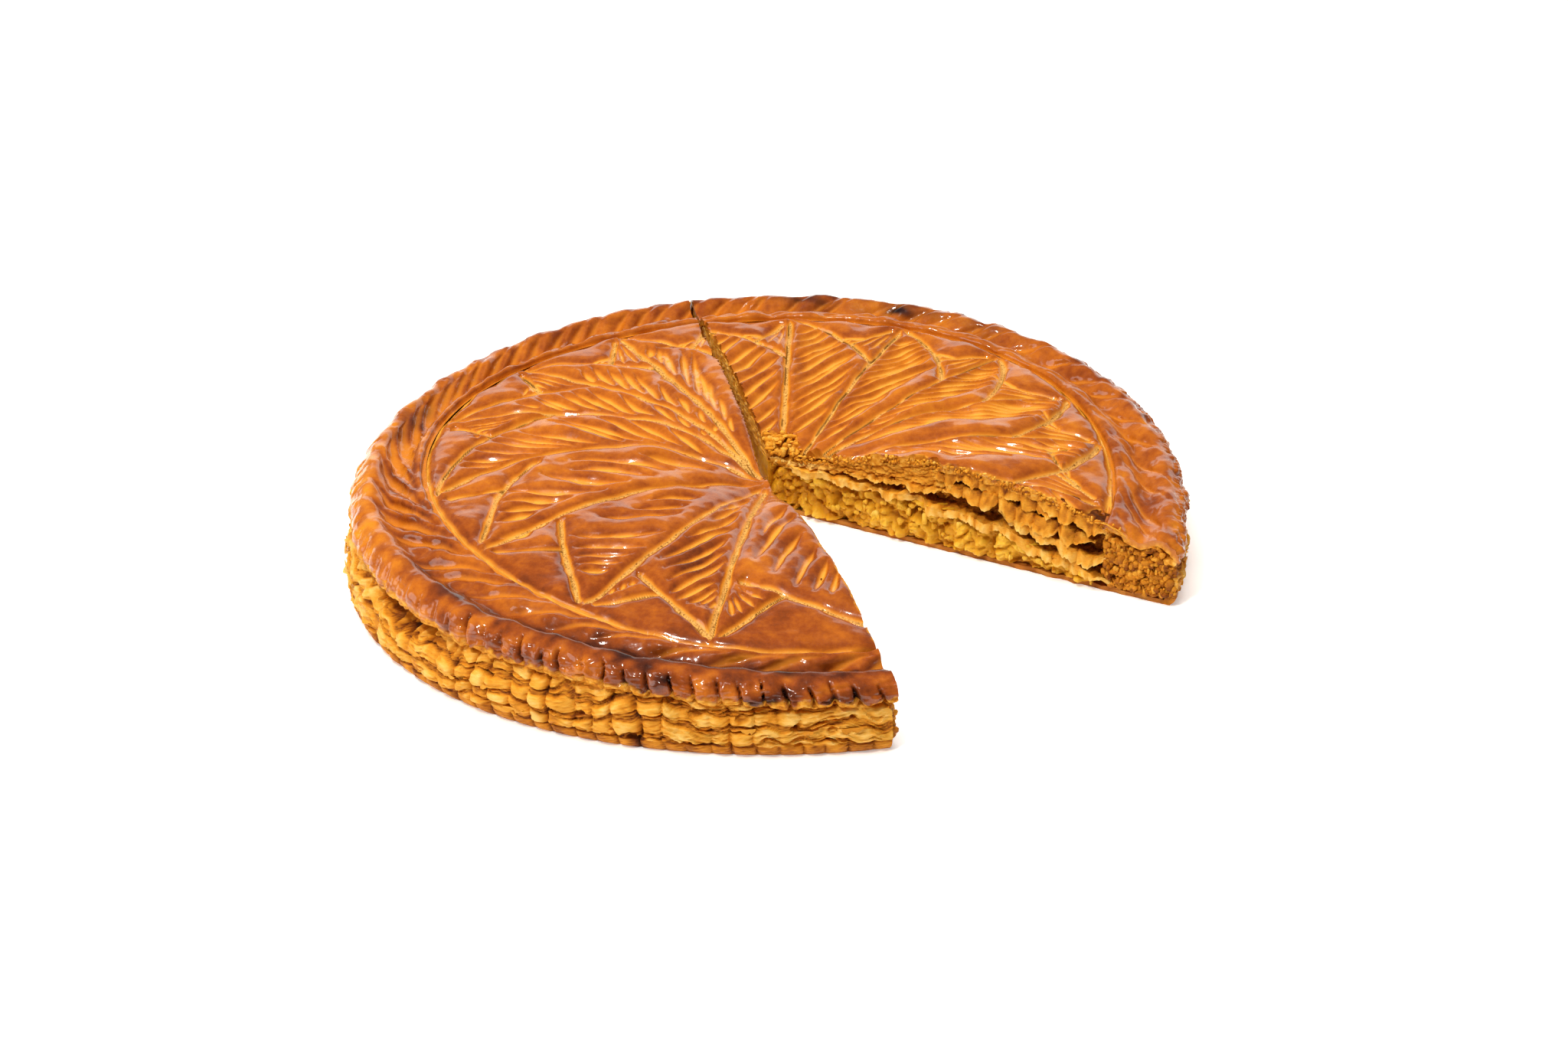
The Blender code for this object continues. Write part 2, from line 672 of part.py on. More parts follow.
    def build(self, material):
        """Make every face of the case and join them."""
        shell = self.shell
        ring = self.ring_rows()
        rim = self.rim_rows()
        for inner, outer in zip(ring, ring[1:]):
            shell.band(inner, outer)
        shell.stitch(ring[-1], rim[0])
        for upper, lower in zip(rim, rim[1:]):
            shell.band(upper, lower)
        lid_start = self.lid_edge(True, ring[0][0])
        lid_end = self.lid_edge(False, ring[0][-1])
        self.make_lid(lid_start, lid_end, ring[0])
        base_start = self.base_edge(rim[-1][0])
        base_end = self.base_edge(rim[-1][-1])
        self.make_base(base_start, base_end, rim[-1])
        floor, ceiling = cavity_rows(self.piece, self.mark_angles, 0.0)
        for rows in (floor, ceiling):
            shell.fan(rows[0][0], rows[1])
            for near, far in zip(rows[1:], rows[2:]):
                shell.band(near, far)
        shell.band(floor[-1], ceiling[-1])
        for at_start, column in ((True, 0), (False, -1)):
            top = (lid_start if at_start else lid_end)[:-1]
            outer = [row[column] for row in ring] + [row[column] for row in rim[:-1]]
            base = base_start if at_start else base_end
            low = [floor[0][0]] + [row[column] for row in floor[1:]]
            high = [ceiling[0][0]] + [row[column] for row in ceiling[1:]]
            self.make_cut(at_start, top, outer, base, low, high)
        return shell.build(self.piece.name + "_pastry", material)


def cavity_rows(piece, mark_angles, gap):
    """Floor and ceiling rows of the filling's space, drawn in by a gap on all sides."""
    columns = list(mark_angles[::CAVITY_MARKS])
    if (len(mark_angles) - 1) % CAVITY_MARKS:
        columns.append(mark_angles[-1])
    apex = np.array(piece.apex)
    ends = [ray(piece, a, rim_radius(a) - FILLING_RADIUS + gap) for a in columns]
    floor, ceiling = [], []
    for share in np.linspace(0.0, 1.0, CAVITY_STATIONS):
        plan = [apex + share * (end - apex) for end in ends]
        floor.append([(x, y, BASE_THICKNESS + gap) for x, y in plan])
        ceiling.append([(x, y, float(ceiling_height(x, y)) - gap) for x, y in plan])
    return floor, ceiling


class Filling:
    """The almond filling of one piece, crumbly where it was cut."""

    def __init__(self, piece, mark_angles):
        self.piece = piece
        self.random = np.random.default_rng(piece.seed + 100)
        self.rows = cavity_rows(piece, mark_angles, FIT_GAP)
        self.shell = Shell()

    def make_cut(self, at_start):
        """One cut face, with lumps and hollows where crumbs broke away."""
        piece = self.piece
        along, facing = cut_frame(piece, at_start)
        closed = piece.start_closed if at_start else piece.end_closed
        column = 0 if at_start else -1
        floor, ceiling = self.rows
        outline = [row[column] for row in floor] + [row[column] for row in ceiling][::-1]
        solid = np.array(outline)
        apex = np.array(piece.apex)
        flat_outline = np.column_stack([(solid[:, :2] - apex) @ along, solid[:, 2]])
        run = np.arange(CRUMB_STEP, flat_outline[:, 0].max(), CRUMB_STEP)
        rise = np.arange(BASE_THICKNESS + CRUMB_STEP / 2.0, flat_outline[:, 1].max(), CRUMB_STEP)
        d, z = np.meshgrid(run, rise)
        flat = np.stack([d.ravel(), z.ravel()], 1)
        flat += self.random.uniform(-CRUMB_DRIFT, CRUMB_DRIFT, flat.shape) * CRUMB_STEP
        fits = inside_outline(flat, flat_outline)
        gap = segment_distance(flat, flat_outline, np.roll(flat_outline, -1, axis=0))
        flat = flat[fits & (gap > FACE_CLEARANCE)]
        relief = self.random.uniform(-1.0, 1.0, len(flat)) * CRUMB_RELIEF
        relief = np.minimum(relief, 0.0) * CLOSED_RELIEF if closed else relief
        inner = np.column_stack([apex + flat[:, :1] * along + relief[:, None] * facing, flat[:, 1]])

        def place(d, z):
            return (*(apex + d * along), z)

        self.shell.fill(outline, flat_outline, inner, flat, [], place)

    def build(self, material):
        """Make every face of the filling and join them."""
        floor, ceiling = self.rows
        for rows in (floor, ceiling):
            self.shell.fan(rows[0][0], rows[1])
            for near, far in zip(rows[1:], rows[2:]):
                self.shell.band(near, far)
        self.shell.band(floor[-1], ceiling[-1])
        self.make_cut(True)
        self.make_cut(False)
        return self.shell.build(self.piece.name + "_filling", material)


def main():
    """Build both pieces of the cake."""
    clear_scene()
    crust = pastry_material("egg_washed_puff_pastry", CRUST_COLOUR, CRUST_ROUGHNESS)
    almond = pastry_material("almond_filling", FILLING_COLOUR, FILLING_ROUGHNESS)
    for piece in (LEFT, RIGHT):
        case = Case(piece)
        case.build(crust)
        Filling(piece, case.mark_angles).build(almond)


main()
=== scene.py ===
"""Looks of a galette des rois, 26 cm across, in two cut pieces with an open wedge between them.

Each cut piece is dressed with its own parts: a glazed lid with a scored leaf pattern, a rim with
finger marks, a flaky side, a baked base, the almond filling, and the layers that a cut lays open.
Surfaces are worked out in millimetres with numpy and put into meshes in metres. Angles run
anticlockwise from +X, seen from above, and the front of the cake is at -Y.
"""

import logging
import math
from dataclasses import dataclass
from enum import Enum
from typing import Callable, Iterable, Sequence

import bpy
import numpy as np
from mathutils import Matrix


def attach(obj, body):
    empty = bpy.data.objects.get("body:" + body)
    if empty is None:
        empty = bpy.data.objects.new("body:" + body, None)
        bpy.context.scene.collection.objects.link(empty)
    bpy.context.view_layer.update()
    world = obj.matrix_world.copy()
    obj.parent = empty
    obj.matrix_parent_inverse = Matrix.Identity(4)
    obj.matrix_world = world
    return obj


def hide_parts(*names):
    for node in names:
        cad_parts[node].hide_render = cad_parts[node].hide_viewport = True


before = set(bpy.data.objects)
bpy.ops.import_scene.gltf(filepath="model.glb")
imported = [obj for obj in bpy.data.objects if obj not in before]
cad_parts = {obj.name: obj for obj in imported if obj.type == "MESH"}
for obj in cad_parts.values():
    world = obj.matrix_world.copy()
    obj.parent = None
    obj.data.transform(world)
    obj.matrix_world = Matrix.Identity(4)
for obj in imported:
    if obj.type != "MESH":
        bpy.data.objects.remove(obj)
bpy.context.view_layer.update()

LOG = logging.getLogger("galette")
MM = 0.001
TAU = 2.0 * math.pi
SHARP_DEGREES = 60.0
Array = np.ndarray
Values = dict[str, Array]
Material = bpy.types.Material
Socket = bpy.types.NodeSocket


class Slot(Enum):
    """The record's material slots."""

    CRUST = "glazed_crust"
    FILLING = "almond_filling"


class Cut(Enum):
    """The two knife cuts of a piece: where it starts and where it ends, going anticlockwise."""

    START = 0
    END = 1


# Noise and other formulas

def waves(seed: int, scale: float, *axes: Array, count: int = 26) -> Array:
    """Smooth unevenness with a mean of zero and a spread of about one.

    It is the sum of sine waves whose directions and phases are drawn at random and whose
    wavelengths lie between 0.7 and 1.7 times the scale, over the root of half their number.

    Args:
        seed: start of the random draw.
        scale: typical size of a bump, in millimetres.
        axes: coordinates, in millimetres.
        count: number of waves.

    Returns:
        The unevenness at each point.
    """
    draw = np.random.default_rng(seed)
    total = np.zeros(np.broadcast(*axes).shape)
    for _ in range(count):
        direction = draw.normal(size=len(axes))
        direction /= np.linalg.norm(direction)
        number = TAU / (scale * draw.uniform(0.7, 1.7))
        phase = draw.uniform(0, TAU)
        total += np.cos(number * sum(d * a for d, a in zip(direction, axes)) + phase)
    return total / math.sqrt(count / 2.0)


def puffs(seed: int, sizes: Sequence[tuple[float, float]], *axes: Array) -> Array:
    """Round puffs with sharp creases between them, as on a cauliflower.

    It is the sum, over sizes, of a height times the waves without their sign, held under 1.5.

    Args:
        seed: start of the random draws.
        sizes: size and height of each kind of puff, in millimetres.
        axes: coordinates.

    Returns:
        The height, with a mean of zero.
    """
    total = 0.0
    for number, (size, height) in enumerate(sizes):
        puff = np.minimum(np.abs(waves(seed + number, size, *axes, count=18)), 1.5)
        total = total + height * (puff - 0.75)
    return total


def unit(value: Array) -> Array:
    """A value held between 0 and 1."""
    return np.clip(value, 0.0, 1.0)


def smooth(value: Array, low: float, high: float) -> Array:
    """A step from 0 at low to 1 at high, with level ends: 3 t squared less 2 t cubed."""
    t = unit((np.asarray(value, float) - low) / (high - low))
    return t * t * (3.0 - 2.0 * t)


def bump(angle: Array, middle: float, spread: float) -> Array:
    """A bell of height one round one angle: e to the minus square of the turn over the spread.

    Args:
        angle: angles, in radians.
        middle: angle of the bell's top, in degrees.
        spread: turn at which it has fallen to a third, in degrees.

    Returns:
        The bell's height at each angle.
    """
    away = (angle - math.radians(middle) + math.pi) % TAU - math.pi
    return np.exp(-((away / math.radians(spread)) ** 2))


def spline(knots: Array, counts: Sequence[int]) -> Array:
    """A smooth curve through knots, by the Catmull-Rom formula on four knots at a time.

    Args:
        knots: knots along the first axis, any shape behind it.
        counts: number of steps between each knot and the next.

    Returns:
        The curve's points along the first axis.
    """
    padded = np.concatenate([2 * knots[:1] - knots[1:2], knots, 2 * knots[-1:] - knots[-2:-1]])
    points = []
    for k, count in enumerate(counts):
        p0, p1, p2, p3 = padded[k:k + 4]
        t = (np.arange(count) / count).reshape((-1,) + (1,) * (knots.ndim - 1))
        cubic = (-p0 + 3 * p1 - 3 * p2 + p3) * t ** 3 + (2 * p0 - 5 * p1 + 4 * p2 - p3) * t ** 2
        points.append(0.5 * (2 * p1 + (p2 - p0) * t + cubic))
    points.append(knots[-1:])
    return np.concatenate(points)


def section_curves(knots: Sequence[tuple], angle: Array, counts: Sequence[int]) -> list[Array]:
    """Insets and heights along a smooth section, at each angle.

    Args:
        knots: inset and height of each knot, numbers or one for each angle.
        angle: angles of the columns.
        counts: number of steps between each knot and the next.

    Returns:
        The insets and the heights, rows along the section.
    """
    def along(side: int) -> Array:
        """The insets or the heights."""
        return spline(np.array([np.broadcast_to(k[side], angle.shape) for k in knots]), counts)

    return [along(0), along(1)]


def nearest_on_path(x: Array, y: Array, path: Array) -> tuple[Array, Array]:
    """Distance from points to a path, less than zero on its right, and the place along it.

    Each point is dropped square onto every straight stretch, its foot is held within the
    stretch's ends, and the nearest foot counts.

    Args:
        x: points' x, in millimetres.
        y: points' y.
        path: the path's corners, one in each row.

    Returns:
        The signed distances, and the shares of the path's length.
    """
    start, leg = path[:-1], np.diff(path, axis=0)
    size = np.maximum((leg ** 2).sum(1), 1e-9)
    length = np.sqrt(size)
    before = np.concatenate([[0.0], np.cumsum(length)])[:-1]
    dx, dy = x[:, None] - start[:, 0], y[:, None] - start[:, 1]
    t = unit((dx * leg[:, 0] + dy * leg[:, 1]) / size)
    gap = np.hypot(dx - t * leg[:, 0], dy - t * leg[:, 1])
    best = gap.argmin(1)
    row = np.arange(len(x))
    side = np.where(leg[best, 0] * dy[row, best] > leg[best, 1] * dx[row, best], 1.0, -1.0)
    return side * gap[row, best], (before[best] + t[row, best] * length[best]) / length.sum()


def in_polygon(x: Array, y: Array, corners: Array) -> Array:
    """Which points lie in a polygon, by counting its edges to the right of each.

    Args:
        x: points' x in plan, in mm.
        y: their y.
        corners: the polygon's corners, one in each row.

    Returns:
        True for each point inside.
    """
    inside = np.zeros(x.shape, bool)
    for (ax, ay), (bx, by) in zip(corners, np.roll(corners, -1, axis=0)):
        span = by - ay if by != ay else 1e-9
        inside ^= ((ay > y) != (by > y)) & (x < ax + (y - ay) / span * (bx - ax))
    return inside


# Meshes

def grid_faces(ids: Array) -> Array:
    """Four-sided faces between the rows and columns of a grid of point numbers."""
    return np.stack([ids[:-1, :-1], ids[:-1, 1:], ids[1:, 1:], ids[1:, :-1]], -1).reshape(-1, 4)


def sheet_faces(rows: int, columns: int, step: int) -> list[Array]:
    """Faces of a closed sheet: a fine grid, a coarser grid under it and the edge between.

    The coarser grid has one point for every step points of the fine one each way, and its
    points are numbered after the fine ones.

    Args:
        rows: number of rows of the fine grid.
        columns: number of its columns.
        step: how many fine steps make a coarse one.

    Returns:
        Arrays of faces, each with faces of one number of corners.
    """
    fine = np.arange(rows * columns).reshape(rows, columns)
    shape = ((rows - 1) // step + 1, (columns - 1) // step + 1)
    coarse = rows * columns + np.arange(shape[0] * shape[1]).reshape(shape)

    def edge(ids: Array) -> Array:
        """Point numbers once round a grid."""
        return np.concatenate([ids[0, :-1], ids[:-1, -1], ids[-1, :0:-1], ids[:0:-1, 0]])

    upper, lower = edge(fine), edge(coarse)
    k = np.arange(len(lower))
    down = [upper[(k * step + j) % len(upper)] for j in range(step, -1, -1)]
    side = np.stack([lower, lower[(k + 1) % len(lower)]] + down, 1)
    return [grid_faces(fine), grid_faces(coarse)[:, ::-1], side]


def block_lattice(counts: tuple[int, int, int]) -> tuple[Array, Array, Array, Array]:
    """Places and faces of the skin of a block of points.

    Args:
        counts: numbers of points along, across and up the block.

    Returns:
        Shares along, across and up for each skin point, and the four-sided faces.
    """
    index = np.indices(counts)
    ends = np.array(counts).reshape(3, 1, 1, 1) - 1
    skin = ((index == 0) | (index == ends)).any(0)
    ids = np.full(counts, -1)
    ids[skin] = np.arange(skin.sum())
    faces = []
    for axis in range(3):
        turned = np.moveaxis(ids, axis, 0)
        turned = turned if axis != 1 else np.swapaxes(turned, 1, 2)
        faces.append(grid_faces(turned[-1])[:, ::-1])
        faces.append(grid_faces(turned[0]))
    along, across, up = (index[a][skin] / (counts[a] - 1) for a in range(3))
    return along, across, up, np.concatenate(faces)


def signed_volume(points: Array, faces: Iterable[Array]) -> float:
    """Volume inside faces, less than zero where they point inwards.

    Each face is split into triangles from its first corner, and a triangle adds a sixth of its
    corners' triple product.

    Args:
        points: places, one in each row.
        faces: arrays of faces.

    Returns:
        The volume.
    """
    total = 0.0
    for face in faces:
        a = points[face[:, 0]]
        for k in range(1, face.shape[1] - 1):
            total += np.einsum("ij,ij->", a, np.cross(points[face[:, k]], points[face[:, k + 1]]))
    return total / 6.0


def place_object(name: str, data: bpy.types.ID) -> bpy.types.Object:
    """Put an object with its data into the scene."""
    item = bpy.data.objects.new(name, data)
    bpy.context.scene.collection.objects.link(item)
    return item


class PieceMesh:
    """Closed bodies of one piece, gathered into one mesh with painted values on its points."""

    def __init__(self, name: str) -> None:
        """Start with nothing in the piece.

        Args:
            name: the piece's name.
        """
        self.name = name
        self.points: list[Array] = []
        self.faces: list[Array] = []
        self.values: list[Values] = []
        self.count = 0

    def add(self, points: Array, faces: Sequence[Array], values: Values) -> None:
        """Take a closed body, turned so that its faces point out.

        Args:
            points: places in millimetres, one in each row.
            faces: arrays of faces.
            values: painted values, one for each point.
        """
        if signed_volume(points - points.mean(0), faces) < 0:
            faces = [face[:, ::-1] for face in faces]
        self.points.append(points)
        self.faces.extend(face + self.count for face in faces)
        self.values.append({key: np.broadcast_to(v, len(points)) for key, v in values.items()})
        self.count += len(points)

    def add_sheet(self, top: Array, under: Array, values: Values, lower: Values, step: int) -> None:
        """Take a closed sheet given by its fine face and its coarser other face.

        Args:
            top: places of the fine grid, rows by columns by three.
            under: places of the coarser grid.
            values: painted values on the fine grid.
            lower: values for the coarser one, which takes the rest from the fine grid.
            step: how many fine steps make a coarse one.
        """
        rows, columns = top.shape[:2]
        points = np.concatenate([top.reshape(-1, 3), under.reshape(-1, 3)])
        painted = {}
        for key, value in values.items():
            value = np.broadcast_to(value, (rows, columns))
            other = np.broadcast_to(lower.get(key, value[::step, ::step]), under.shape[:2])
            painted[key] = np.concatenate([value.ravel(), other.ravel()])
        self.add(points, sheet_faces(rows, columns, step), painted)

    def build(self, material: Material, slot: Slot, nodes: Sequence[str]) -> bpy.types.Object:
        """Make the object, let it ride on the cake and stand for its CAD nodes.

        Args:
            material: the piece's finish.
            slot: not used.
            nodes: CAD nodes that the piece replaces.

        Returns:
            The object.
        """
        points = np.concatenate(self.points) + np.array((*CAKE.plan_shift, 0))
        mesh = bpy.data.meshes.new(self.name)
        mesh.vertices.add(len(points))
        mesh.vertices.foreach_set("co", (points * MM).astype(np.float32).ravel())
        corners = np.concatenate([face.ravel() for face in self.faces])
        sizes = np.concatenate([np.full(len(face), face.shape[1]) for face in self.faces])
        mesh.loops.add(len(corners))
        mesh.loops.foreach_set("vertex_index", corners.astype(np.int32))
        mesh.polygons.add(len(sizes))
        starts = np.concatenate([[0], np.cumsum(sizes)[:-1]])
        mesh.polygons.foreach_set("loop_start", starts.astype(np.int32))
        for key in self.values[0]:
            attribute = mesh.attributes.new(key, "FLOAT", "POINT")
            painted = np.concatenate([value[key] for value in self.values])
            attribute.data.foreach_set("value", painted.astype(np.float32))
        mesh.update(calc_edges=True)
        mesh.shade_smooth()
        mesh.set_sharp_from_angle(angle=math.radians(SHARP_DEGREES))
        mesh.materials.append(material)
        piece = place_object(self.name, mesh)
        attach(piece, "root")
        if nodes:
            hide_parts(*nodes)
        triangles = int((sizes - 2).sum())
        LOG.info("%s: %d points, %d triangles", self.name, len(points), triangles)
        return piece


# The cake's form, the same as its solids have

@dataclass(frozen=True)
class CakeForm:
    """Plan and heights of the whole cake, in millimetres.

    Waves are turns, cosine and sine, and bells are height, middle and spread in degrees. The four
    radii at the end turn an angle into a length round the cake.
    """

    plan_shift: tuple[float, float] = (0.84, -1.30)
    rim_mean: float = 130.6
    rim_waves: tuple = ((2, -0.4, 1.7), (3, -0.5, -1.1), (4, -0.8, 0.5))
    border_mean: float = 106.5
    border_waves: tuple = ((1, 0.4, 1.0), (2, -1.6, 0.3), (3, -0.8, 2.0))
    crest_mean: float = 26.9
    crest_waves: tuple = ((1, -2.4, 3.7), (2, -0.5, 1.8))
    border_rise: float = 0.8
    border_tilt: float = 0.3
    centre_height: float = 24.0
    dome_rise: float = 7.5
    dip_radius: float = 26.0
    furrow_inset: float = 13.5
    furrow_depth: float = 3.2
    ring_fall: float = 11.0
    crest_inset: float = 8.0
    pad_insets: tuple[float, float] = (7.0, 0.5)
    pad_drop: float = 0.30
    setback_bell: tuple[float, float, float] = (2.6, 215.0, 38.0)
    seam_bell: tuple[float, float, float] = (4.5, 203.0, 22.0)
    base_thickness: float = 3.0
    filling_depth: float = 14.0
    filling_edge: float = 2.0
    filling_radius: float = 101.0
    marks_round: int = 122
    mark_uneven: float = 0.10
    ring_radius: float = 118.0
    furrow_radius: float = 125.0
    pad_radius: float = 128.0
    side_radius: float = 129.0

    @staticmethod
    def waved(angle: Array, mean: float, parts: Sequence) -> Array:
        """A mean value plus its waves at an angle."""
        return mean + sum(c * np.cos(n * angle) + s * np.sin(n * angle) for n, c, s in parts)

    def rim(self, angle: Array) -> Array:
        """Radius of the rim at an angle."""
        return self.waved(angle, self.rim_mean, self.rim_waves)

    def border(self, angle: Array) -> Array:
        """Radius of the scored border at an angle."""
        return self.waved(angle, self.border_mean, self.border_waves)

    def crest(self, angle: Array) -> Array:
        """Height of the rim's crest at an angle."""
        return self.waved(angle, self.crest_mean, self.crest_waves)

    def border_top(self, angle: Array) -> Array:
        """Height of the scored border at an angle."""
        return self.crest(angle) + self.border_rise - self.border_tilt * np.sin(angle)

    def setback(self, angle: Array) -> Array:
        """How far the lid's rim stands back from the base, front left."""
        return self.setback_bell[0] * bump(angle, *self.setback_bell[1:])

    def seam(self, angle: Array) -> Array:
        """How far the seam between lid and base gapes, on the left."""
        return self.seam_bell[0] * bump(angle, *self.seam_bell[1:])

    def ceiling(self, x: Array, y: Array) -> Array:
        """Height of the filling's top: a lens that thins out with the cube of the radius."""
        share = unit(np.hypot(x, y) / self.filling_radius)
        lens = (self.filling_depth - self.filling_edge) * (1 - share ** 3)
        return self.base_thickness + self.filling_edge + lens


CAKE = CakeForm()


@dataclass(frozen=True)
class Leaf:
    """One scored leaf: the angle of its tip, how its spine bends, and its veins.

    side is the line from the tip to the spine of the leaf before, and strokes are knife strokes
    as the two ends of each. Without them the line and the veins are worked out.
    """

    tip: float
    bend: float
    veins: int = 6
    turn: float = 48.0
    first: float = 0.25
    last: float = 0.84
    side: tuple[tuple[float, float], ...] = ()
    strokes: tuple[tuple[float, float, float, float], ...] = ()
    stroke_width: float = 1.25


@dataclass(frozen=True)
class CutPiece:
    """Plan of one cut piece: its apex, the angles where its cuts leave the rim, its leaves."""

    name: str
    apex: tuple[float, float]
    start: float
    end: float
    open_cut: Cut
    tip_sag: float
    tip_sag_length: float
    centre: tuple[float, float]
    leaves: tuple[Leaf, ...]
    seed: int
    fineness: int

    @property
    def span(self) -> float:
        """Angle between the two cuts at the rim, in radians."""
        return math.radians(self.end - self.start)

    def angles(self, count: int) -> Array:
        """Evenly spaced angles from the first cut to the last."""
        return np.linspace(math.radians(self.start), math.radians(self.end), count)

    def ray(self, angle: Array, inset: Array) -> tuple[Array, Array]:
        """Plan point on the straight line from the rim to the apex, by its inset from the rim.

        Args:
            angle: where on the rim, in radians.
            inset: distance from the rim.

        Returns:
            The points' x and y.
        """
        x, y = CAKE.rim(angle) * np.cos(angle), CAKE.rim(angle) * np.sin(angle)
        dx, dy = self.apex[0] - x, self.apex[1] - y
        length = np.hypot(dx, dy)
        return x + inset * dx / length, y + inset * dy / length

    def lid(self, x: Array, y: Array) -> Array:
        """Height of the unscored lid: a dome with a dip in the middle, and a tip that may sag.

        Args:
            x: points' x in plan, in mm.
            y: their y.

        Returns:
            The heights.
        """
        distance = np.hypot(x, y)
        angle = np.arctan2(y, x)
        dip = np.exp(-((distance / CAKE.dip_radius) ** 2))
        dome = CAKE.centre_height + CAKE.dome_rise * (1 - dip)
        outward = unit(distance / CAKE.border(angle)) ** 4
        sag = np.exp(-((np.hypot(x - self.apex[0], y - self.apex[1]) / self.tip_sag_length) ** 2))
        return (1 - outward) * dome + outward * CAKE.border_top(angle) - self.tip_sag * sag

    def top(self, x: Array, y: Array) -> Array:
        """Height of the whole upper side: the lid, then the ring, the crest and the pads.

        Args:
            x: points' x in plan, in mm.
            y: their y.

        Returns:
            The heights.
        """
        angle = np.arctan2(y, x)
        inset = CAKE.rim(angle) - np.hypot(x, y)
        width = CAKE.rim(angle) - CAKE.border(angle)
        crest = CAKE.crest(angle)
        t = unit((width - inset) / CAKE.ring_fall)
        ring = CAKE.border_top(angle) * (1 - t) + (crest - CAKE.furrow_depth) * t
        rise = smooth(-inset, -CAKE.furrow_inset, -CAKE.crest_inset)
        ring = ring * (1 - rise) + crest * rise
        inner, outer = CAKE.pad_insets
        ring = ring - CAKE.pad_drop * crest * smooth(-inset, -inner, -outer)
        return np.where(inset > width, self.lid(x, y), ring)

    def cut_frame(self, cut: Cut) -> tuple[Array, Array, float]:
        """How a cut runs.

        Args:
            cut: which of the two cuts.

        Returns:
            Its direction from the apex, the side it faces, and its length to the rim.
        """
        angle = math.radians(self.start if cut is Cut.START else self.end)
        leg = np.array(self.ray(angle, 0)) - np.array(self.apex)
        length = float(np.linalg.norm(leg))
        along = leg / length
        facing = np.array((along[1], -along[0])) * (1 if cut is Cut.START else -1)
        return along, facing, length

    def cut_distance(self, x: Array, y: Array, cut: Cut) -> tuple[Array, Array]:
        """Where points lie at a cut.

        Args:
            x: points' x in plan, in mm.
            y: their y.
            cut: which of the two cuts.

        Returns:
            How far along the cut from the apex, and how deep behind it.
        """
        along, facing, _ = self.cut_frame(cut)
        dx, dy = x - self.apex[0], y - self.apex[1]
        return dx * along[0] + dy * along[1], -(dx * facing[0] + dy * facing[1])

    def between(self, share: Array, x: Array, y: Array) -> tuple[Array, Array]:
        """Plan point a share of the way from the apex to another point."""
        return self.apex[0] + share * (x - self.apex[0]), self.apex[1] + share * (y - self.apex[1])

    def beside(self, run: Array, out: Array) -> tuple[Array, Array]:
        """Plan point by its place along the open cut and how far it stands out from it."""
        along, facing, _ = self.cut_frame(self.open_cut)
        return tuple(self.apex[k] + run * along[k] + out * facing[k] for k in (0, 1))

    def mark_angles(self) -> Array:
        """Angles of the finger marks, as uneven as in the solids.

        Returns:
            The angles, in radians.
        """
        draw = np.random.default_rng(self.seed)
        marks = int(round(self.span / TAU * CAKE.marks_round))
        uneven = draw.uniform(-CAKE.mark_uneven, CAKE.mark_uneven, marks + 1)
        uneven[[0, -1]] = 0
        return math.radians(self.start) + (np.arange(marks + 1) + uneven) * self.span / marks

    def on_marks(self, place: Array) -> tuple[Array, Array, Array, Array]:
        """Where angles lie among the finger marks.

        Args:
            place: angles, in radians.

        Returns:
            The number of the pad, the place from -1 to 1 across it, the turn to the nearest mark,
            and that mark's number.
        """
        marks = self.mark_angles()
        pad = np.clip(np.searchsorted(marks, place) - 1, 0, len(marks) - 2)
        low, high = marks[pad], marks[pad + 1]
        across = 2 * (place - low) / (high - low) - 1
        before, after = np.abs(place - low), np.abs(high - place)
        return pad, across, np.minimum(before, after), np.where(before < after, pad, pad + 1)

    def at(self, share: float, degrees: float) -> Array:
        """Plan point by its direction from the rosette's centre and its share of the way out.

        Args:
            share: share of the way from the centre to the border.
            degrees: direction, in degrees.

        Returns:
            The point's x and y.
        """
        centre = np.array(self.centre)
        along = np.array((math.cos(math.radians(degrees)), math.sin(math.radians(degrees))))
        reach = CAKE.border_mean
        for _ in range(4):
            edge = centre + reach * along
            reach += CAKE.border(math.atan2(edge[1], edge[0])) - np.hypot(*edge)
        return centre + share * reach * along


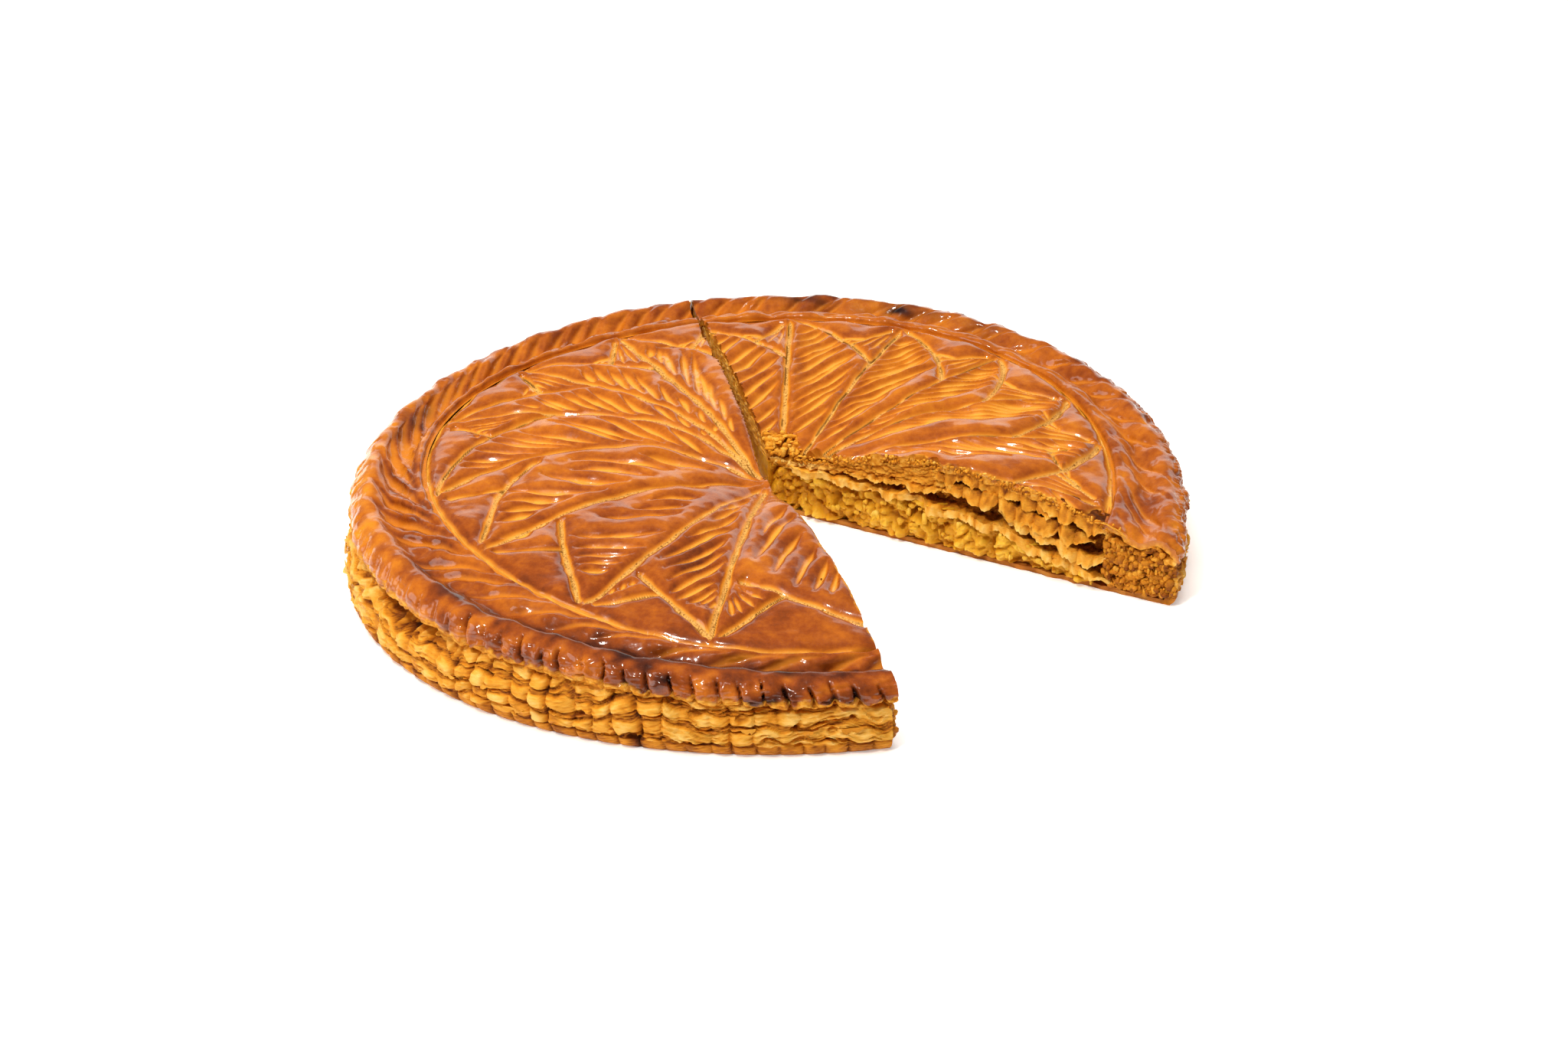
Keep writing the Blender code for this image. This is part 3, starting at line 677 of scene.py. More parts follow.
LEFT = CutPiece(
    name="left",
    apex=(-0.7, -2.2),
    start=102.9,
    end=286.3,
    open_cut=Cut.END,
    tip_sag=0,
    tip_sag_length=30,
    centre=(-0.5, -2),
    leaves=(
        Leaf(100, 0), Leaf(117.6, -2, 12, 20, 0.20, 0.88), Leaf(138.6, -20, 13, 24, 0.18, 0.88),
        Leaf(163, -42, 14, 26, 0.18, 0.88), Leaf(191.5, -50, 14, 29, 0.18, 0.92),
        Leaf(
            213.6, -15, 0,
            side=((-85, -53), (-83.5, -38), (-82, -22), (-77, -10), (-70, 0)),
            strokes=(
                (-39, 3.7, -18, 0.7), (-59, -6.5, -35.5, -9.8), (-69, -10, -43.5, -16.5),
                (-80, -20, -50, -21), (-80, -28, -60, -26), (-80, -34, -66, -30),
                (-80.5, -40, -70, -34), (-80, -50, -66, -41), (-76, -50, -70, -45),
                (-60, -0.2, -30, -2.2),
            ),
            stroke_width=1.9,
        ),
        Leaf(
            238.5, 3, 0,
            side=((-54, -88), (-57.5, -71), (-60.5, -55), (-62, -39)),
            strokes=(
                (-26, -16, -19, -12), (-35, -27, -21.5, -23), (-50, -38.5, -27, -35.5),
                (-58, -49.5, -31, -47.5), (-57, -56, -36, -57.5), (-56.5, -61.5, -40, -62),
                (-55.5, -66.5, -43, -66.5), (-55, -71, -46, -70), (-40, -33, -25, -29.5),
                (-45.5, -83, -44.5, -78.5), (-42.5, -82, -41.8, -77.5), (-39.5, -80.5, -39.2, -76.5),
            ),
            stroke_width=1.5,
        ),
        Leaf(
            261, 0, 0,
            side=((-16, -104), (-23, -94.5), (-30, -84), (-38, -71)),
            strokes=(
                (-15, -33, -6, -20), (-18, -41, -8, -27), (-24, -52, -9, -35),
                (-32, -65, -10, -44), (-30, -70, -12, -52), (-29, -76, -12, -59.5),
                (-24, -78, -12, -66), (-29, -83, -15, -72), (-27, -86.5, -15, -77),
                (-23.5, -88.5, -14.5, -80), (-20, -89.5, -14.5, -83), (-17.5, -92, -14.8, -86.5),
            ),
        ),
        Leaf(
            288.2, 0, 0,
            side=((30, -95), (15, -89), (5, -83), (-9, -75)),
            strokes=(
                (5, -30, -2, -50), (8, -35, -4, -65), (9.5, -49, 1.5, -72),
                (13.5, -57, 7.5, -79), (17, -65, 13, -81), (20, -70, 18, -83),
                (-8, -80, -1.5, -87), (-9, -82, -4, -90.5), (-10, -84.5, -7.5, -93),
                (-11.5, -86, -10.5, -95),
            ),
            stroke_width=1.1,
        ),
    ),
    seed=3,
    fineness=200,
)
RIGHT = CutPiece(
    name="right",
    apex=(-0.8, 27.3),
    start=-18.2,
    end=102.5,
    open_cut=Cut.START,
    tip_sag=7.5,
    tip_sag_length=36,
    centre=(3, 8),
    leaves=(
        Leaf(-36, 0), Leaf(-14, 0, 5, 30, 0.66, 0.92),
        Leaf(
            8, 6, 11, 22,
            strokes=((83, 11, 97, 15.5), (87, 12, 90, 0), (90, 0, 95.5, -9)),
        ),
        Leaf(25, 16, 13, 22, 0.2, 0.88), Leaf(45, 0, 13, 24, 0.2, 0.88),
        Leaf(66, 0, 13, 30, 0.2, 0.88), Leaf(88, 0, 12, 42), Leaf(110, 0, 10, 56),
    ),
    seed=7,
    fineness=176,
)


# Scoring

@dataclass(frozen=True)
class Score:
    """One line scored into the glazed dough: its path, half width, depth, and how far it gapes.

    A lens is widest in its middle, like a knife stroke, and another line keeps its width.
    """

    path: Array
    width: float
    depth: float
    gape: float
    lens: bool


class ScoredField:
    """What the scored lines do to a surface, at each of its plan points.

    cut is 1 at the bottom of a line and falls off as e to the minus square of the distance over
    the width. slit is the dry strip in its middle, crack the thin gap beside that middle, which the
    crust's finish paints dark as painted shade, drop the depth, and near the distance to the
    nearest line.
    """

    crack_width = 0.42
    reach = 9.0
    far = 12.0

    def __init__(self, x: Array, y: Array) -> None:
        """Start with an unscored surface.

        Args:
            x: points' x in plan, in mm.
            y: their y.
        """
        self.x, self.y = x.ravel(), y.ravel()
        self.shape = x.shape
        self.cut, self.slit, self.crack, self.drop = (np.zeros(self.x.shape) for _ in range(4))
        self.near = np.full(self.x.shape, self.far)
        self.wobble = 1 + 0.12 * waves(34, 8, self.x, self.y)
        self.broken = smooth(waves(33, 8, self.x, self.y), -1.1, 0.1)

    def score(self, line: Score) -> None:
        """Cut one line into the surface.

        Args:
            line: the line.
        """
        low, high = line.path.min(0) - self.reach, line.path.max(0) + self.reach
        close = (self.x > low[0]) & (self.x < high[0]) & (self.y > low[1]) & (self.y < high[1])
        spot = np.flatnonzero(close)
        if not len(spot):
            return
        aside, share = nearest_on_path(self.x[spot], self.y[spot], line.path)
        gap = np.abs(aside)
        if line.lens:
            taper = np.sqrt(unit(np.sin(math.pi * np.clip(share, 0.02, 0.98))))
        else:
            taper = smooth(share, 0, 0.06) * smooth(1 - share, 0, 0.04)
            taper = 0.35 + 0.65 * taper
        width = line.width * (0.45 + 0.55 * taper) * self.wobble[spot]
        fall = np.exp(-((gap / width) ** 2)) * taper
        strip = line.gape * np.exp(-((gap / (0.60 * width)) ** 2)) * taper
        split = np.exp(-(((aside - 0.34 * width) / self.crack_width) ** 2)) * taper * self.broken[spot]
        for field, value in (
            (self.cut, fall * (0.80 + 0.20 * line.gape)), (self.drop, line.depth * fall),
            (self.slit, strip), (self.crack, (0.45 + 0.55 * line.gape) * split),
        ):
            field[spot] = np.maximum(field[spot], value)
        self.near[spot] = np.minimum(self.near[spot], gap + (1 - taper) * 3)

    def field(self, key: str) -> Array:
        """One of the fields, in the surface's own shape."""
        return getattr(self, key).reshape(self.shape)


class Rosette:
    """The leaves scored into a piece's lid."""

    spine = dict(width=1.30, depth=1.25, gape=1.0, lens=False)
    side_tip, side_drop, side_power = 0.985, 0.27, 1.25
    base_meets_side = 0.64

    def __init__(self, piece: CutPiece) -> None:
        """Score every leaf of a piece.

        Args:
            piece: the cut piece.
        """
        self.piece = piece
        self.random = np.random.default_rng(piece.seed + 40)
        self.lines: list[Score] = []
        self.panes: list[Array] = []
        for before, leaf in zip(piece.leaves, piece.leaves[1:]):
            self.score_leaf(before, leaf)
        self.score_spine(piece.leaves[0])

    def spine_angle(self, leaf: Leaf, share: float) -> float:
        """Angle of a leaf's spine a share of the way to the border, in degrees."""
        return leaf.tip + leaf.bend * (1 - share)

    def side_point(self, before: Leaf, leaf: Leaf, run: float) -> Array:
        """Point on a leaf's side, from its own tip to the spine of the leaf before.

        Args:
            before: the leaf before.
            leaf: the leaf.
            run: share of the way along the side.

        Returns:
            The point's x and y.
        """
        if leaf.side:
            corners = np.array(leaf.side)
            length = np.concatenate([[0], np.cumsum(np.hypot(*np.diff(corners, axis=0).T))])
            return np.array([np.interp(run * length[-1], length, corners[:, k]) for k in (0, 1)])
        foot = self.spine_angle(before, 1 - self.side_drop)
        share = self.side_tip - self.side_drop * run ** self.side_power
        return self.piece.at(share, leaf.tip + (foot - leaf.tip) * run)

    def score_spine(self, leaf: Leaf) -> None:
        """The line down the middle of a leaf, from the centre to its tip."""
        first = 0.10 if self.piece.tip_sag else 0.03
        path = [self.piece.at(s, self.spine_angle(leaf, s)) for s in np.linspace(first, 0.985, 30)]
        self.lines.append(Score(np.array(path), **self.spine))

    def score_leaf(self, before: Leaf, leaf: Leaf) -> None:
        """Spine, side, base, veins, and the fan at the tip of the leaf before.

        Args:
            before: the leaf before.
            leaf: the leaf.
        """
        piece = self.piece
        self.score_spine(leaf)
        side = [self.side_point(before, leaf, run) for run in np.linspace(0, 1, 14)]
        self.lines.append(Score(np.array(side), **self.spine))
        start = piece.at(0.965, before.tip + 1.2)
        end = self.side_point(before, leaf, self.base_meets_side)
        self.lines.append(Score(np.array((start, end)), 1.2, 1.15, 0.9, False))
        rim = [piece.at(0.99, a) for a in np.linspace(before.tip + 1.5, leaf.tip - 1, 6)]
        lower = [self.side_point(before, leaf, run) for run in np.linspace(0.08, self.base_meets_side, 5)]
        self.panes.append(np.array([start] + rim + lower))
        for stroke in leaf.strokes:
            self.score_stroke(leaf, np.array(stroke[:2]), np.array(stroke[2:]))
        for share in np.linspace(leaf.first, leaf.last, leaf.veins):
            self.score_vein(before, leaf, share + self.random.uniform(-0.01, 0.01))
        for stroke in range(5 if leaf.veins else 0):
            near = piece.at(0.93 - 0.012 * stroke, before.tip + 1.2 + 0.9 * stroke)
            foot = self.spine_angle(before, 0.78)
            far = piece.at(0.785 + 0.02 * stroke, foot + 2.6 + 2.6 * stroke)
            self.lines.append(Score(np.array((near, far)), 0.75, 0.60, 0.2, True))

    def score_stroke(self, leaf: Leaf, start: Array, end: Array) -> None:
        """One slightly bowed knife stroke between two places, deeper the longer it is.

        Args:
            leaf: the leaf that the stroke belongs to.
            start: plan point of one end.
            end: plan point of the other.
        """
        t = np.linspace(0, 1, 7)[:, None]
        leg = end - start
        length = float(np.hypot(*leg))
        bow = np.array((-leg[1], leg[0])) * self.random.uniform(-0.05, 0.05)
        path = start + t * leg + 4 * t * (1 - t) * bow
        size = min(1, 0.55 + length / 40)
        gape = 0.4 if leaf.side else 1
        self.lines.append(Score(path, leaf.stroke_width * size, 1.2 * size, gape, True))

    def score_vein(self, before: Leaf, leaf: Leaf, share: float) -> None:
        """One stroke from the spine, slanting outwards to the leaf before.

        Args:
            before: the leaf before.
            leaf: the leaf.
            share: where on the spine it starts, as a share of the way out.
        """
        angle = self.spine_angle(leaf, share)
        foot = self.piece.at(share, angle)
        if share > 1 - self.side_drop and not leaf.side:
            run = (max(self.side_tip - share, 0) / self.side_drop) ** (1 / self.side_power)
            across = foot - self.side_point(before, leaf, run)
        else:
            across = foot - self.piece.at(share, self.spine_angle(before, share))
        heading = self.heading(leaf, share)
        spread = math.remainder(heading - self.heading(before, share), TAU)
        turn = math.radians(leaf.turn + self.random.uniform(-3, 3))
        along = np.array((math.cos(heading - turn), math.sin(heading - turn)))
        reach = min(np.hypot(*across) * 0.88 / max(math.sin(turn - spread), 0.30), 48)
        reach *= self.random.uniform(0.86, 1)
        start = foot + 2 / math.sin(turn) * along
        sideways = np.array((-along[1], along[0])) * self.random.uniform(-0.7, 0.7)
        t = np.linspace(0, 1, 15)[:, None]
        path = start + (reach - 2 / math.sin(turn)) * t * along + 4 * t * (1 - t) * sideways
        path = path[self.within(before, leaf, path)]
        if reach > 8 and len(path) > 3:
            size = min(1, 0.45 + reach / 50)
            self.lines.append(Score(path, 1.4 * size, 1.15 * size, 0.2, True))

    def heading(self, leaf: Leaf, share: float) -> float:
        """Direction in which a leaf's spine runs outwards, a share of the way to the border."""
        here, ahead = (self.piece.at(s, self.spine_angle(leaf, s)) for s in (share, share + 0.03))
        return math.atan2(ahead[1] - here[1], ahead[0] - here[0])

    def within(self, before: Leaf, leaf: Leaf, path: Array) -> Array:
        """Which points of a stroke lie inside the leaf, short of its side.

        Args:
            before: the leaf before.
            leaf: the leaf.
            path: the stroke's points, one in each row.

        Returns:
            True for each point inside.
        """
        x, y = (path - np.array(self.piece.centre)).T
        back = (leaf.tip - np.degrees(np.arctan2(y, x)) + 180) % 360 - 180
        foot = self.spine_angle(before, 1 - self.side_drop)
        run = unit(back / (leaf.tip - foot))
        edge = self.side_tip - self.side_drop * run ** self.side_power - 0.04
        return np.hypot(x, y) / CAKE.border_mean < edge

    def pane(self, x: Array, y: Array) -> Array:
        """Which points lie in the smooth panes between a leaf's side and the border.

        Args:
            x: points' x in plan, in mm.
            y: their y.

        Returns:
            1 in a pane and 0 elsewhere.
        """
        found = np.zeros(x.shape, bool)
        for corners in self.panes:
            found |= in_polygon(x, y, corners)
        return found.astype(float)


@dataclass
class Part:
    """One part of a cut piece: its mesh, the slot of its finish and the node it stands for."""

    piece: CutPiece

    name = "part"
    slot = Slot.CRUST
    stands_for = "pastry"

    def __post_init__(self) -> None:
        """Start the part's mesh."""
        self.mesh = PieceMesh(f"{self.piece.name}_{self.name}")

    def draws(self, number: int) -> np.random.Generator:
        """A start for random draws that belong to the piece."""
        return np.random.default_rng(self.piece.seed + number)

    def shape(self) -> None:
        """Put the part's surfaces into its mesh."""
        raise NotImplementedError

    def build(self, material: Material) -> None:
        """Make the part.

        Args:
            material: its finish.
        """
        self.shape()
        nodes = [f"{self.piece.name}_{self.stands_for}"] if self.stands_for else []
        self.mesh.build(material, self.slot, nodes)


# The glazed lid

@dataclass
class Lid(Part):
    """The scored lid inside the border, from the apex outwards.

    Its grid is a square's upper half drawn over a half disc so that every cell keeps the same
    area, and that half disc is then drawn over the piece.
    """

    name = "lid"
    thickness: float = 1.3
    hollow: float = 3.4
    sunk: float = 0.75
    puff: float = 1.1
    puff_reach: float = 3.0
    underside_step: int = 4
    torn_radius: float = 9.5

    def plan(self) -> tuple[Array, Array]:
        """Plan points of the grid, rows from the cuts to the border.

        Returns:
            The points' x and y.
        """
        n = self.piece.fineness
        a, b = np.meshgrid(np.linspace(-1, 1, 2 * n + 1), np.linspace(0, 1, n + 1))
        steep = b >= np.abs(a)
        share = np.where(steep, b, np.abs(a))
        safe = np.maximum(share, 1e-9)
        turn = np.where(steep, math.pi / 2 - math.pi / 4 * a / safe, math.pi / 4 * b / safe)
        turn = np.where(~steep & (a < 0), math.pi - turn, turn)
        angle = math.radians(self.piece.start) + turn / math.pi * self.piece.span
        return self.piece.between(share, *self.piece.ray(angle, CAKE.rim(angle) - CAKE.border(angle)))

    def edge(self, line: Array, cut: Cut) -> Array:
        """How far the lid's edge stands out along a cut: crisp, nicked or torn.

        Args:
            line: places along the cut, in millimetres.
            cut: which of the two cuts.

        Returns:
            How far out, less than zero where it stands back.
        """
        piece = self.piece
        if cut is not piece.open_cut:
            return -0.35 + 0.25 * waves(86, 2, line)
        if piece is RIGHT:
            edge = -0.8 + 0.55 * waves(81, 9, line) + 0.22 * waves(82, 4, line)
            edge += 0.14 * waves(83, 1.5, line)
            return edge - 3 * (1 - smooth(line, 19, 25)) - 5.5 * smooth(line, 103, 111)
        nick = np.maximum(waves(84, 3, line) - 1.5, 0)
        return -0.05 + 0.06 * waves(85, 1.4, line) - 0.5 * nick

    def ragged(self, x: Array, y: Array) -> tuple[Array, Array]:
        """Move the points next to each cut to where the lid's edge lies.

        Args:
            x: points' x in plan, in mm.
            y: their y.

        Returns:
            The moved points' x and y.
        """
        piece = self.piece
        line = np.linspace(0, 140, 1400)
        for cut in Cut:
            _, facing, _ = piece.cut_frame(cut)
            run, deep = piece.cut_distance(x, y, cut)
            edge = np.minimum(self.edge(line, cut), 0.5) * smooth(line, 0, 4)
            moved = np.interp(run, line, edge)
            shift = moved * np.exp(-np.maximum(deep, 0) / np.maximum(1.6, -1.5 * moved))
            shift = np.where(run > 0, shift, 0)
            x, y = x + shift * facing[0], y + shift * facing[1]
        return x, y

    def shape(self) -> None:
        """The lid's scoring, its pillows between the lines and its baked tones."""
        piece = self.piece
        rosette = Rosette(piece)
        x, y = self.ragged(*self.plan())
        field = ScoredField(x, y)
        for line in rosette.lines:
            field.score(line)
        field.score(border_line(piece))
        cut, slit, crack = field.field("cut"), field.field("slit"), field.field("crack")
        near = field.field("near")
        pillow = self.puff * (1 - np.exp(-((near / self.puff_reach) ** 2)))
        pane = rosette.pane(x, y)
        z = piece.lid(x, y) - self.sunk + pillow * (1 - 0.3 * pane)
        z += 0.32 * waves(11, 17, x, y) + 0.045 * waves(12, 5.5, x, y)
        z -= field.field("drop") + 0.25 * slit + 0.45 * crack
        torn = self.torn(x, y)
        z += torn * (puffs(16, ((6, 1.3), (2.6, 0.7), (1.3, 0.3)), x, y) - 1.6)
        bake = GlazeTones(x, y).lid(pane, near)
        top = np.stack([x, y, z], -1)
        step = self.underside_step
        under = top[::step, ::step] - np.array((0, 0, self.thickness))
        under[..., 2] = np.minimum(under[..., 2], piece.lid(x, y)[::step, ::step] - self.hollow)
        worn = np.maximum(torn, 0.85 * self.lip(x, y))
        values = dict(cut=cut, slit=slit, crack=crack, bake=bake, burn=0 * cut, torn=worn)
        self.mesh.add_sheet(top, under, values, dict(torn=np.array(1)), step)

    def torn(self, x: Array, y: Array) -> Array:
        """Where the glaze is gone: at the tip of the sagging piece and beside its cut.

        Args:
            x: points' x in plan, in mm.
            y: their y.

        Returns:
            1 where the glaze is gone and 0 where it is whole.
        """
        piece = self.piece
        if not piece.tip_sag:
            return np.zeros(x.shape)
        away = np.hypot(x - piece.apex[0], y - piece.apex[1])
        rough = 1.6 * waves(14, 11, x, y) + 0.6 * waves(15, 2.5, x, y)
        tip = smooth(self.torn_radius + rough - away, -0.4, 0.6)
        run, deep = piece.cut_distance(x, y, piece.open_cut)
        strip = 2.6 * (1 - smooth(run, 16, 30)) + 0.5 * rough
        return np.maximum(tip, smooth(strip - deep, -0.3, 0.4) * (1 - smooth(run, 22, 30)))

    def lip(self, x: Array, y: Array) -> Array:
        """Where the glaze has chipped off in a narrow strip along the open cut.

        Args:
            x: points' x in plan, in mm.
            y: their y.

        Returns:
            1 in the strip and 0 elsewhere.
        """
        run, deep = self.piece.cut_distance(x, y, self.piece.open_cut)
        wide = 0.55 if self.piece.tip_sag else 0.15
        wide = wide + 0.35 * waves(17, 3, x, y) + 0.3 * waves(18, 12, x, y)
        return smooth(wide - deep, -0.3, 0.3) * smooth(run, 3, 8)


def border_line(piece: CutPiece) -> Score:
    """The line scored round the lid, where it meets the ring."""
    angle = piece.angles(240)
    x, y = piece.ray(angle, CAKE.rim(angle) - CAKE.border(angle))
    return Score(np.stack([x, y], 1), 1.4, 1.1, 0.42, False)


@dataclass(frozen=True)
class GlazeTones:
    """How dark the glaze has baked over the lid and the ring, 0 for golden and 1 for near black."""

    x: Array
    y: Array

    def mottle(self) -> Array:
        """Cloudy unevenness of the bake, in patches of 2 to 3 cm and of 6 mm."""
        return 0.04 * waves(31, 24, self.x, self.y) + 0.02 * waves(32, 7, self.x, self.y)

    def lid(self, pane: Array, near: Array) -> Array:
        """Bake of the lid: darker to the front, on the panes and beside the scored lines.

        Args:
            pane: 1 in a smooth pane and 0 elsewhere.
            near: distance to the nearest scored line.

        Returns:
            The tone.
        """
        turn = np.arctan2(self.y, self.x)
        outer = smooth(np.hypot(self.x, self.y), 20, 70)
        front = 0.10 * bump(turn, 245, 60) * outer
        golden = 0.04 * bump(turn, 170, 45) * outer
        beside = 0.07 * np.exp(-((near - 2.3) ** 2))
        right = 0.05 * bump(turn, 45, 55) * outer
        tone = 0.47 + front - golden - right + 0.05 * pane + beside + self.mottle()
        return unit(tone)


# The rim

# Burnt patches in the furrow: angle, spread and strength
BURNT_PATCHES = (
    (213, 2.5, 0.50), (221.5, 2.6, 1.00), (229, 4, 0.55), (240, 5, 0.45),
    (254.5, 4.5, 1.00), (263, 4, 0.60), (272.5, 4.5, 0.80), (282, 4, 0.35),
    (160, 6, 0.45), (168, 4, 0.30), (84, 5, 0.55), (70, 7, 0.60), (55, 6, 0.35),
)


@dataclass
class Rim(Part):
    """The ring between the border and the crest, and the pads that finger marks divide.

    Its section runs through named knots, each an inset from the rim and a share of the crest's
    height, along a smooth curve. Strokes and notches sink in square to that curve.
    """

    name = "rim"
    thickness: float = 3.6
    end_thickness: float = 2.2
    counts: tuple[int, ...] = (4, 8, 12, 14, 10, 14, 8, 6)
    stroke_spacing: float = 8.2
    notch_width: float = 0.32
    notch_slant: float = 0.22
    underside_step: int = 4

    def section(self, angle: Array) -> list[Array]:
        """Insets and heights of the rim's section, rows from the border to under the pads.

        Args:
            angle: angles of the columns, in radians.

        Returns:
            The insets from the rim and the heights.
        """
        crest, top = CAKE.crest(angle), CAKE.border_top(angle)
        back = CAKE.setback(angle)
        border = CAKE.rim(angle) - CAKE.border(angle)
        furrow = CAKE.furrow_inset + back
        knots = [
            (border, top - 1.7),
            (border - 1.5, top - 0.5),
            (0.45 * border + 0.55 * furrow, top - 0.45 * CAKE.furrow_depth + 0.3),
            (furrow, crest - CAKE.furrow_depth + 0.3),
            (8.2 + back, crest),
            (3.7 + back, 0.945 * crest),
            (1.2 + back, 0.82 * crest),
            (1.8 + back, 0.70 * crest),
            (5.4 + back, 0.64 * crest),
        ]
        return section_curves(knots, angle, self.counts)

    def strokes(self) -> list[Score]:
        """Long lens-shaped strokes across the ring, slanting outwards clockwise.

        In front they are long and nearly run with the border, and to the left and at the back
        they run on over the crest.

        Returns:
            The strokes.
        """
        piece = self.piece
        draw = self.draws(60)
        found = []
        inner = math.radians(piece.start)
        while inner < math.radians(piece.end) + 0.2:
            front = float(bump(np.array(inner), 256, 34))
            sparse = max(front, float(bump(np.array(inner), 12, 42)))
            rope = float(bump(np.array(inner), 186, 34))
            run = (20 + 10 * sparse + 26 * rope + draw.uniform(-3, 3)) / CAKE.ring_radius
            t = np.linspace(0, 1, 9)
            angle = inner - run * t
            border = CAKE.rim(angle) - CAKE.border(angle)
            outer = 6 + 8 * front + 0.8 * rope + draw.uniform(-0.5, 0.8)
            inset = (border - 2.8 - 2.2 * rope) * (1 - t) + outer * t + 1.4 * np.sin(math.pi * t)
            x, y = piece.ray(angle, inset + CAKE.setback(angle))
            size = draw.uniform(0.8, 1.15)
            width = size * (1.6 + 0.4 * rope - 0.4 * sparse)
            depth = size * (1.5 + 0.8 * rope - 0.8 * sparse)
            found.append(Score(np.stack([x, y], 1), width, depth, 0.28 * rope, True))
            spacing = self.stroke_spacing * draw.uniform(0.75, 1.25) + 6 * rope + 7 * sparse
            inner += spacing / CAKE.ring_radius
        return found

    def notches(self, angle: Array, rows: Array, run: Array) -> tuple[Array, Array, Array]:
        """The finger marks: how deep each point lies in one, its place on its pad, and the pad.

        Args:
            angle: angles of the columns.
            rows: knot number reached by each row.
            run: length along the section from the crest, in millimetres.

        Returns:
            The depth share, the place from -1 to 1 across the pad, and a draw for each pad.
        """
        count = len(self.piece.mark_angles())
        draw = self.draws(61)
        radius = CAKE.pad_radius
        lean = self.notch_slant * run / radius + 0.0018 * waves(54, 9, run, angle[None, :] * radius)
        pad, across, turn, mark = self.piece.on_marks(angle[None, :] - lean)
        gap = turn * radius
        strong = self.pads_shape(angle)[None, :]
        start = draw.uniform(-0.35, 0.35, count)[mark]
        extent = smooth(rows - start, 4.65, 5.35)
        wide = draw.uniform(0.6, 1.7, count)[mark]
        width = self.notch_width * wide * (1 + 0.6 * smooth(rows, 5, 6.5)) * (1.6 - 0.6 * strong)
        depth = np.exp(-((gap / width) ** 2)) * extent
        strength = draw.choice((0.30, 0.70, 1.10), count, p=(0.22, 0.36, 0.42))
        pads = draw.uniform(-1, 1, count)
        depth = depth * strength[mark] * (0.22 + 0.78 * strong)
        return depth, np.clip(across, -1, 1), pads[pad]

    def pads_shape(self, angle: Array) -> Array:
        """How clearly the finger marks divide the crest: clearly in front, faintly elsewhere."""
        front = smooth(np.degrees(angle) % 360, 219, 232)
        back = 0.45 * bump(angle, 10, 50) + 0.40 * bump(angle, 66, 22)
        return np.where(np.degrees(angle) % 360 < 300, front, 0) + back

    def shape(self) -> None:
        """The rim with its strokes, pads and burnt patches."""
        piece = self.piece
        angle = piece.angles(4 * piece.fineness + 1)
        inset, height = self.section(angle)
        x, y = piece.ray(angle[None, :], inset)
        rows = spline(np.arange(9)[:, None], self.counts) * np.ones(len(angle))
        away = -inset
        slope_r, slope_z = np.gradient(away, axis=0), np.gradient(height, axis=0)
        steep = np.hypot(slope_r, slope_z)
        out_r, out_z = -slope_z / steep, slope_r / steep
        run = np.cumsum(steep, axis=0)
        run -= run[sum(self.counts[:4])]
        strong = self.pads_shape(angle)[None, :]
        field = ScoredField(x, y)
        for line in self.strokes() + [border_line(piece)]:
            field.score(line)
        on_ring = 1 - smooth(rows, 4.5 - 0.8 * strong, 5.3 - 1.1 * strong)
        cut = field.field("cut") * on_ring
        slit, crack = field.field("slit") * on_ring, field.field("crack") * on_ring
        notch, across, pad = self.notches(angle, rows, np.maximum(run, 0))
        on_pad = smooth(rows, 4.3, 5.2)
        round_pad = ((1 - across ** 4) * 0.3 + 0.35 * pad) * (0.45 + 0.55 * strong)
        lift = -(field.field("drop") * on_ring + 0.2 * slit + 0.5 * crack) - 2.1 * notch
        lift += on_pad * round_pad
        radial = np.hypot(x, y)
        lift += 0.35 * on_ring * smooth(rows, 0.3, 1.3)
        right = bump(angle, 5, 60)[None, :]
        beads = on_pad * right * puffs(58, ((6, 0.5), (3, 0.25)), x, y, 1.5 * height)
        beads += on_pad * strong * 0.15 * waves(60, 2.8, x, y, 1.6 * height)
        lift += 0.26 * waves(51, 10, x, y, 1.5 * height)
        lift += 0.04 * waves(52, 3, x, y, 2 * height) + beads
        folds = smooth(rows, 5.8, 6.6)
        lift += folds * 0.30 * np.sin(TAU * height / 1.3 + 1.5 * waves(55, 12, x, y))
        lift *= smooth(rows, 0, 0.25)
        outward = np.stack([x / radial, y / radial], -1)
        top = np.concatenate([
            np.stack([x, y], -1) + (lift * out_r)[..., None] * outward,
            (height + lift * out_z)[..., None],
        ], -1)
        shown = 0.62 - 0.04 * bump(angle, 175, 50)
        values = self.tones(x, y, height, angle, rows, inset, shown * cut, notch)
        values.update(slit=slit, crack=crack)
        step = self.underside_step
        from_end = np.minimum(angle - angle[0], angle[-1] - angle) * CAKE.furrow_radius
        thick = self.end_thickness + (self.thickness - self.end_thickness) * smooth(from_end, 0, 8)
        inward = (thick * out_r)[::step, ::step, None] * outward[::step, ::step]
        under = top[::step, ::step] - np.concatenate([inward, (thick * out_z)[::step, ::step, None]], -1)
        self.mesh.add_sheet(top, under, values, dict(torn=np.array(1)), step)

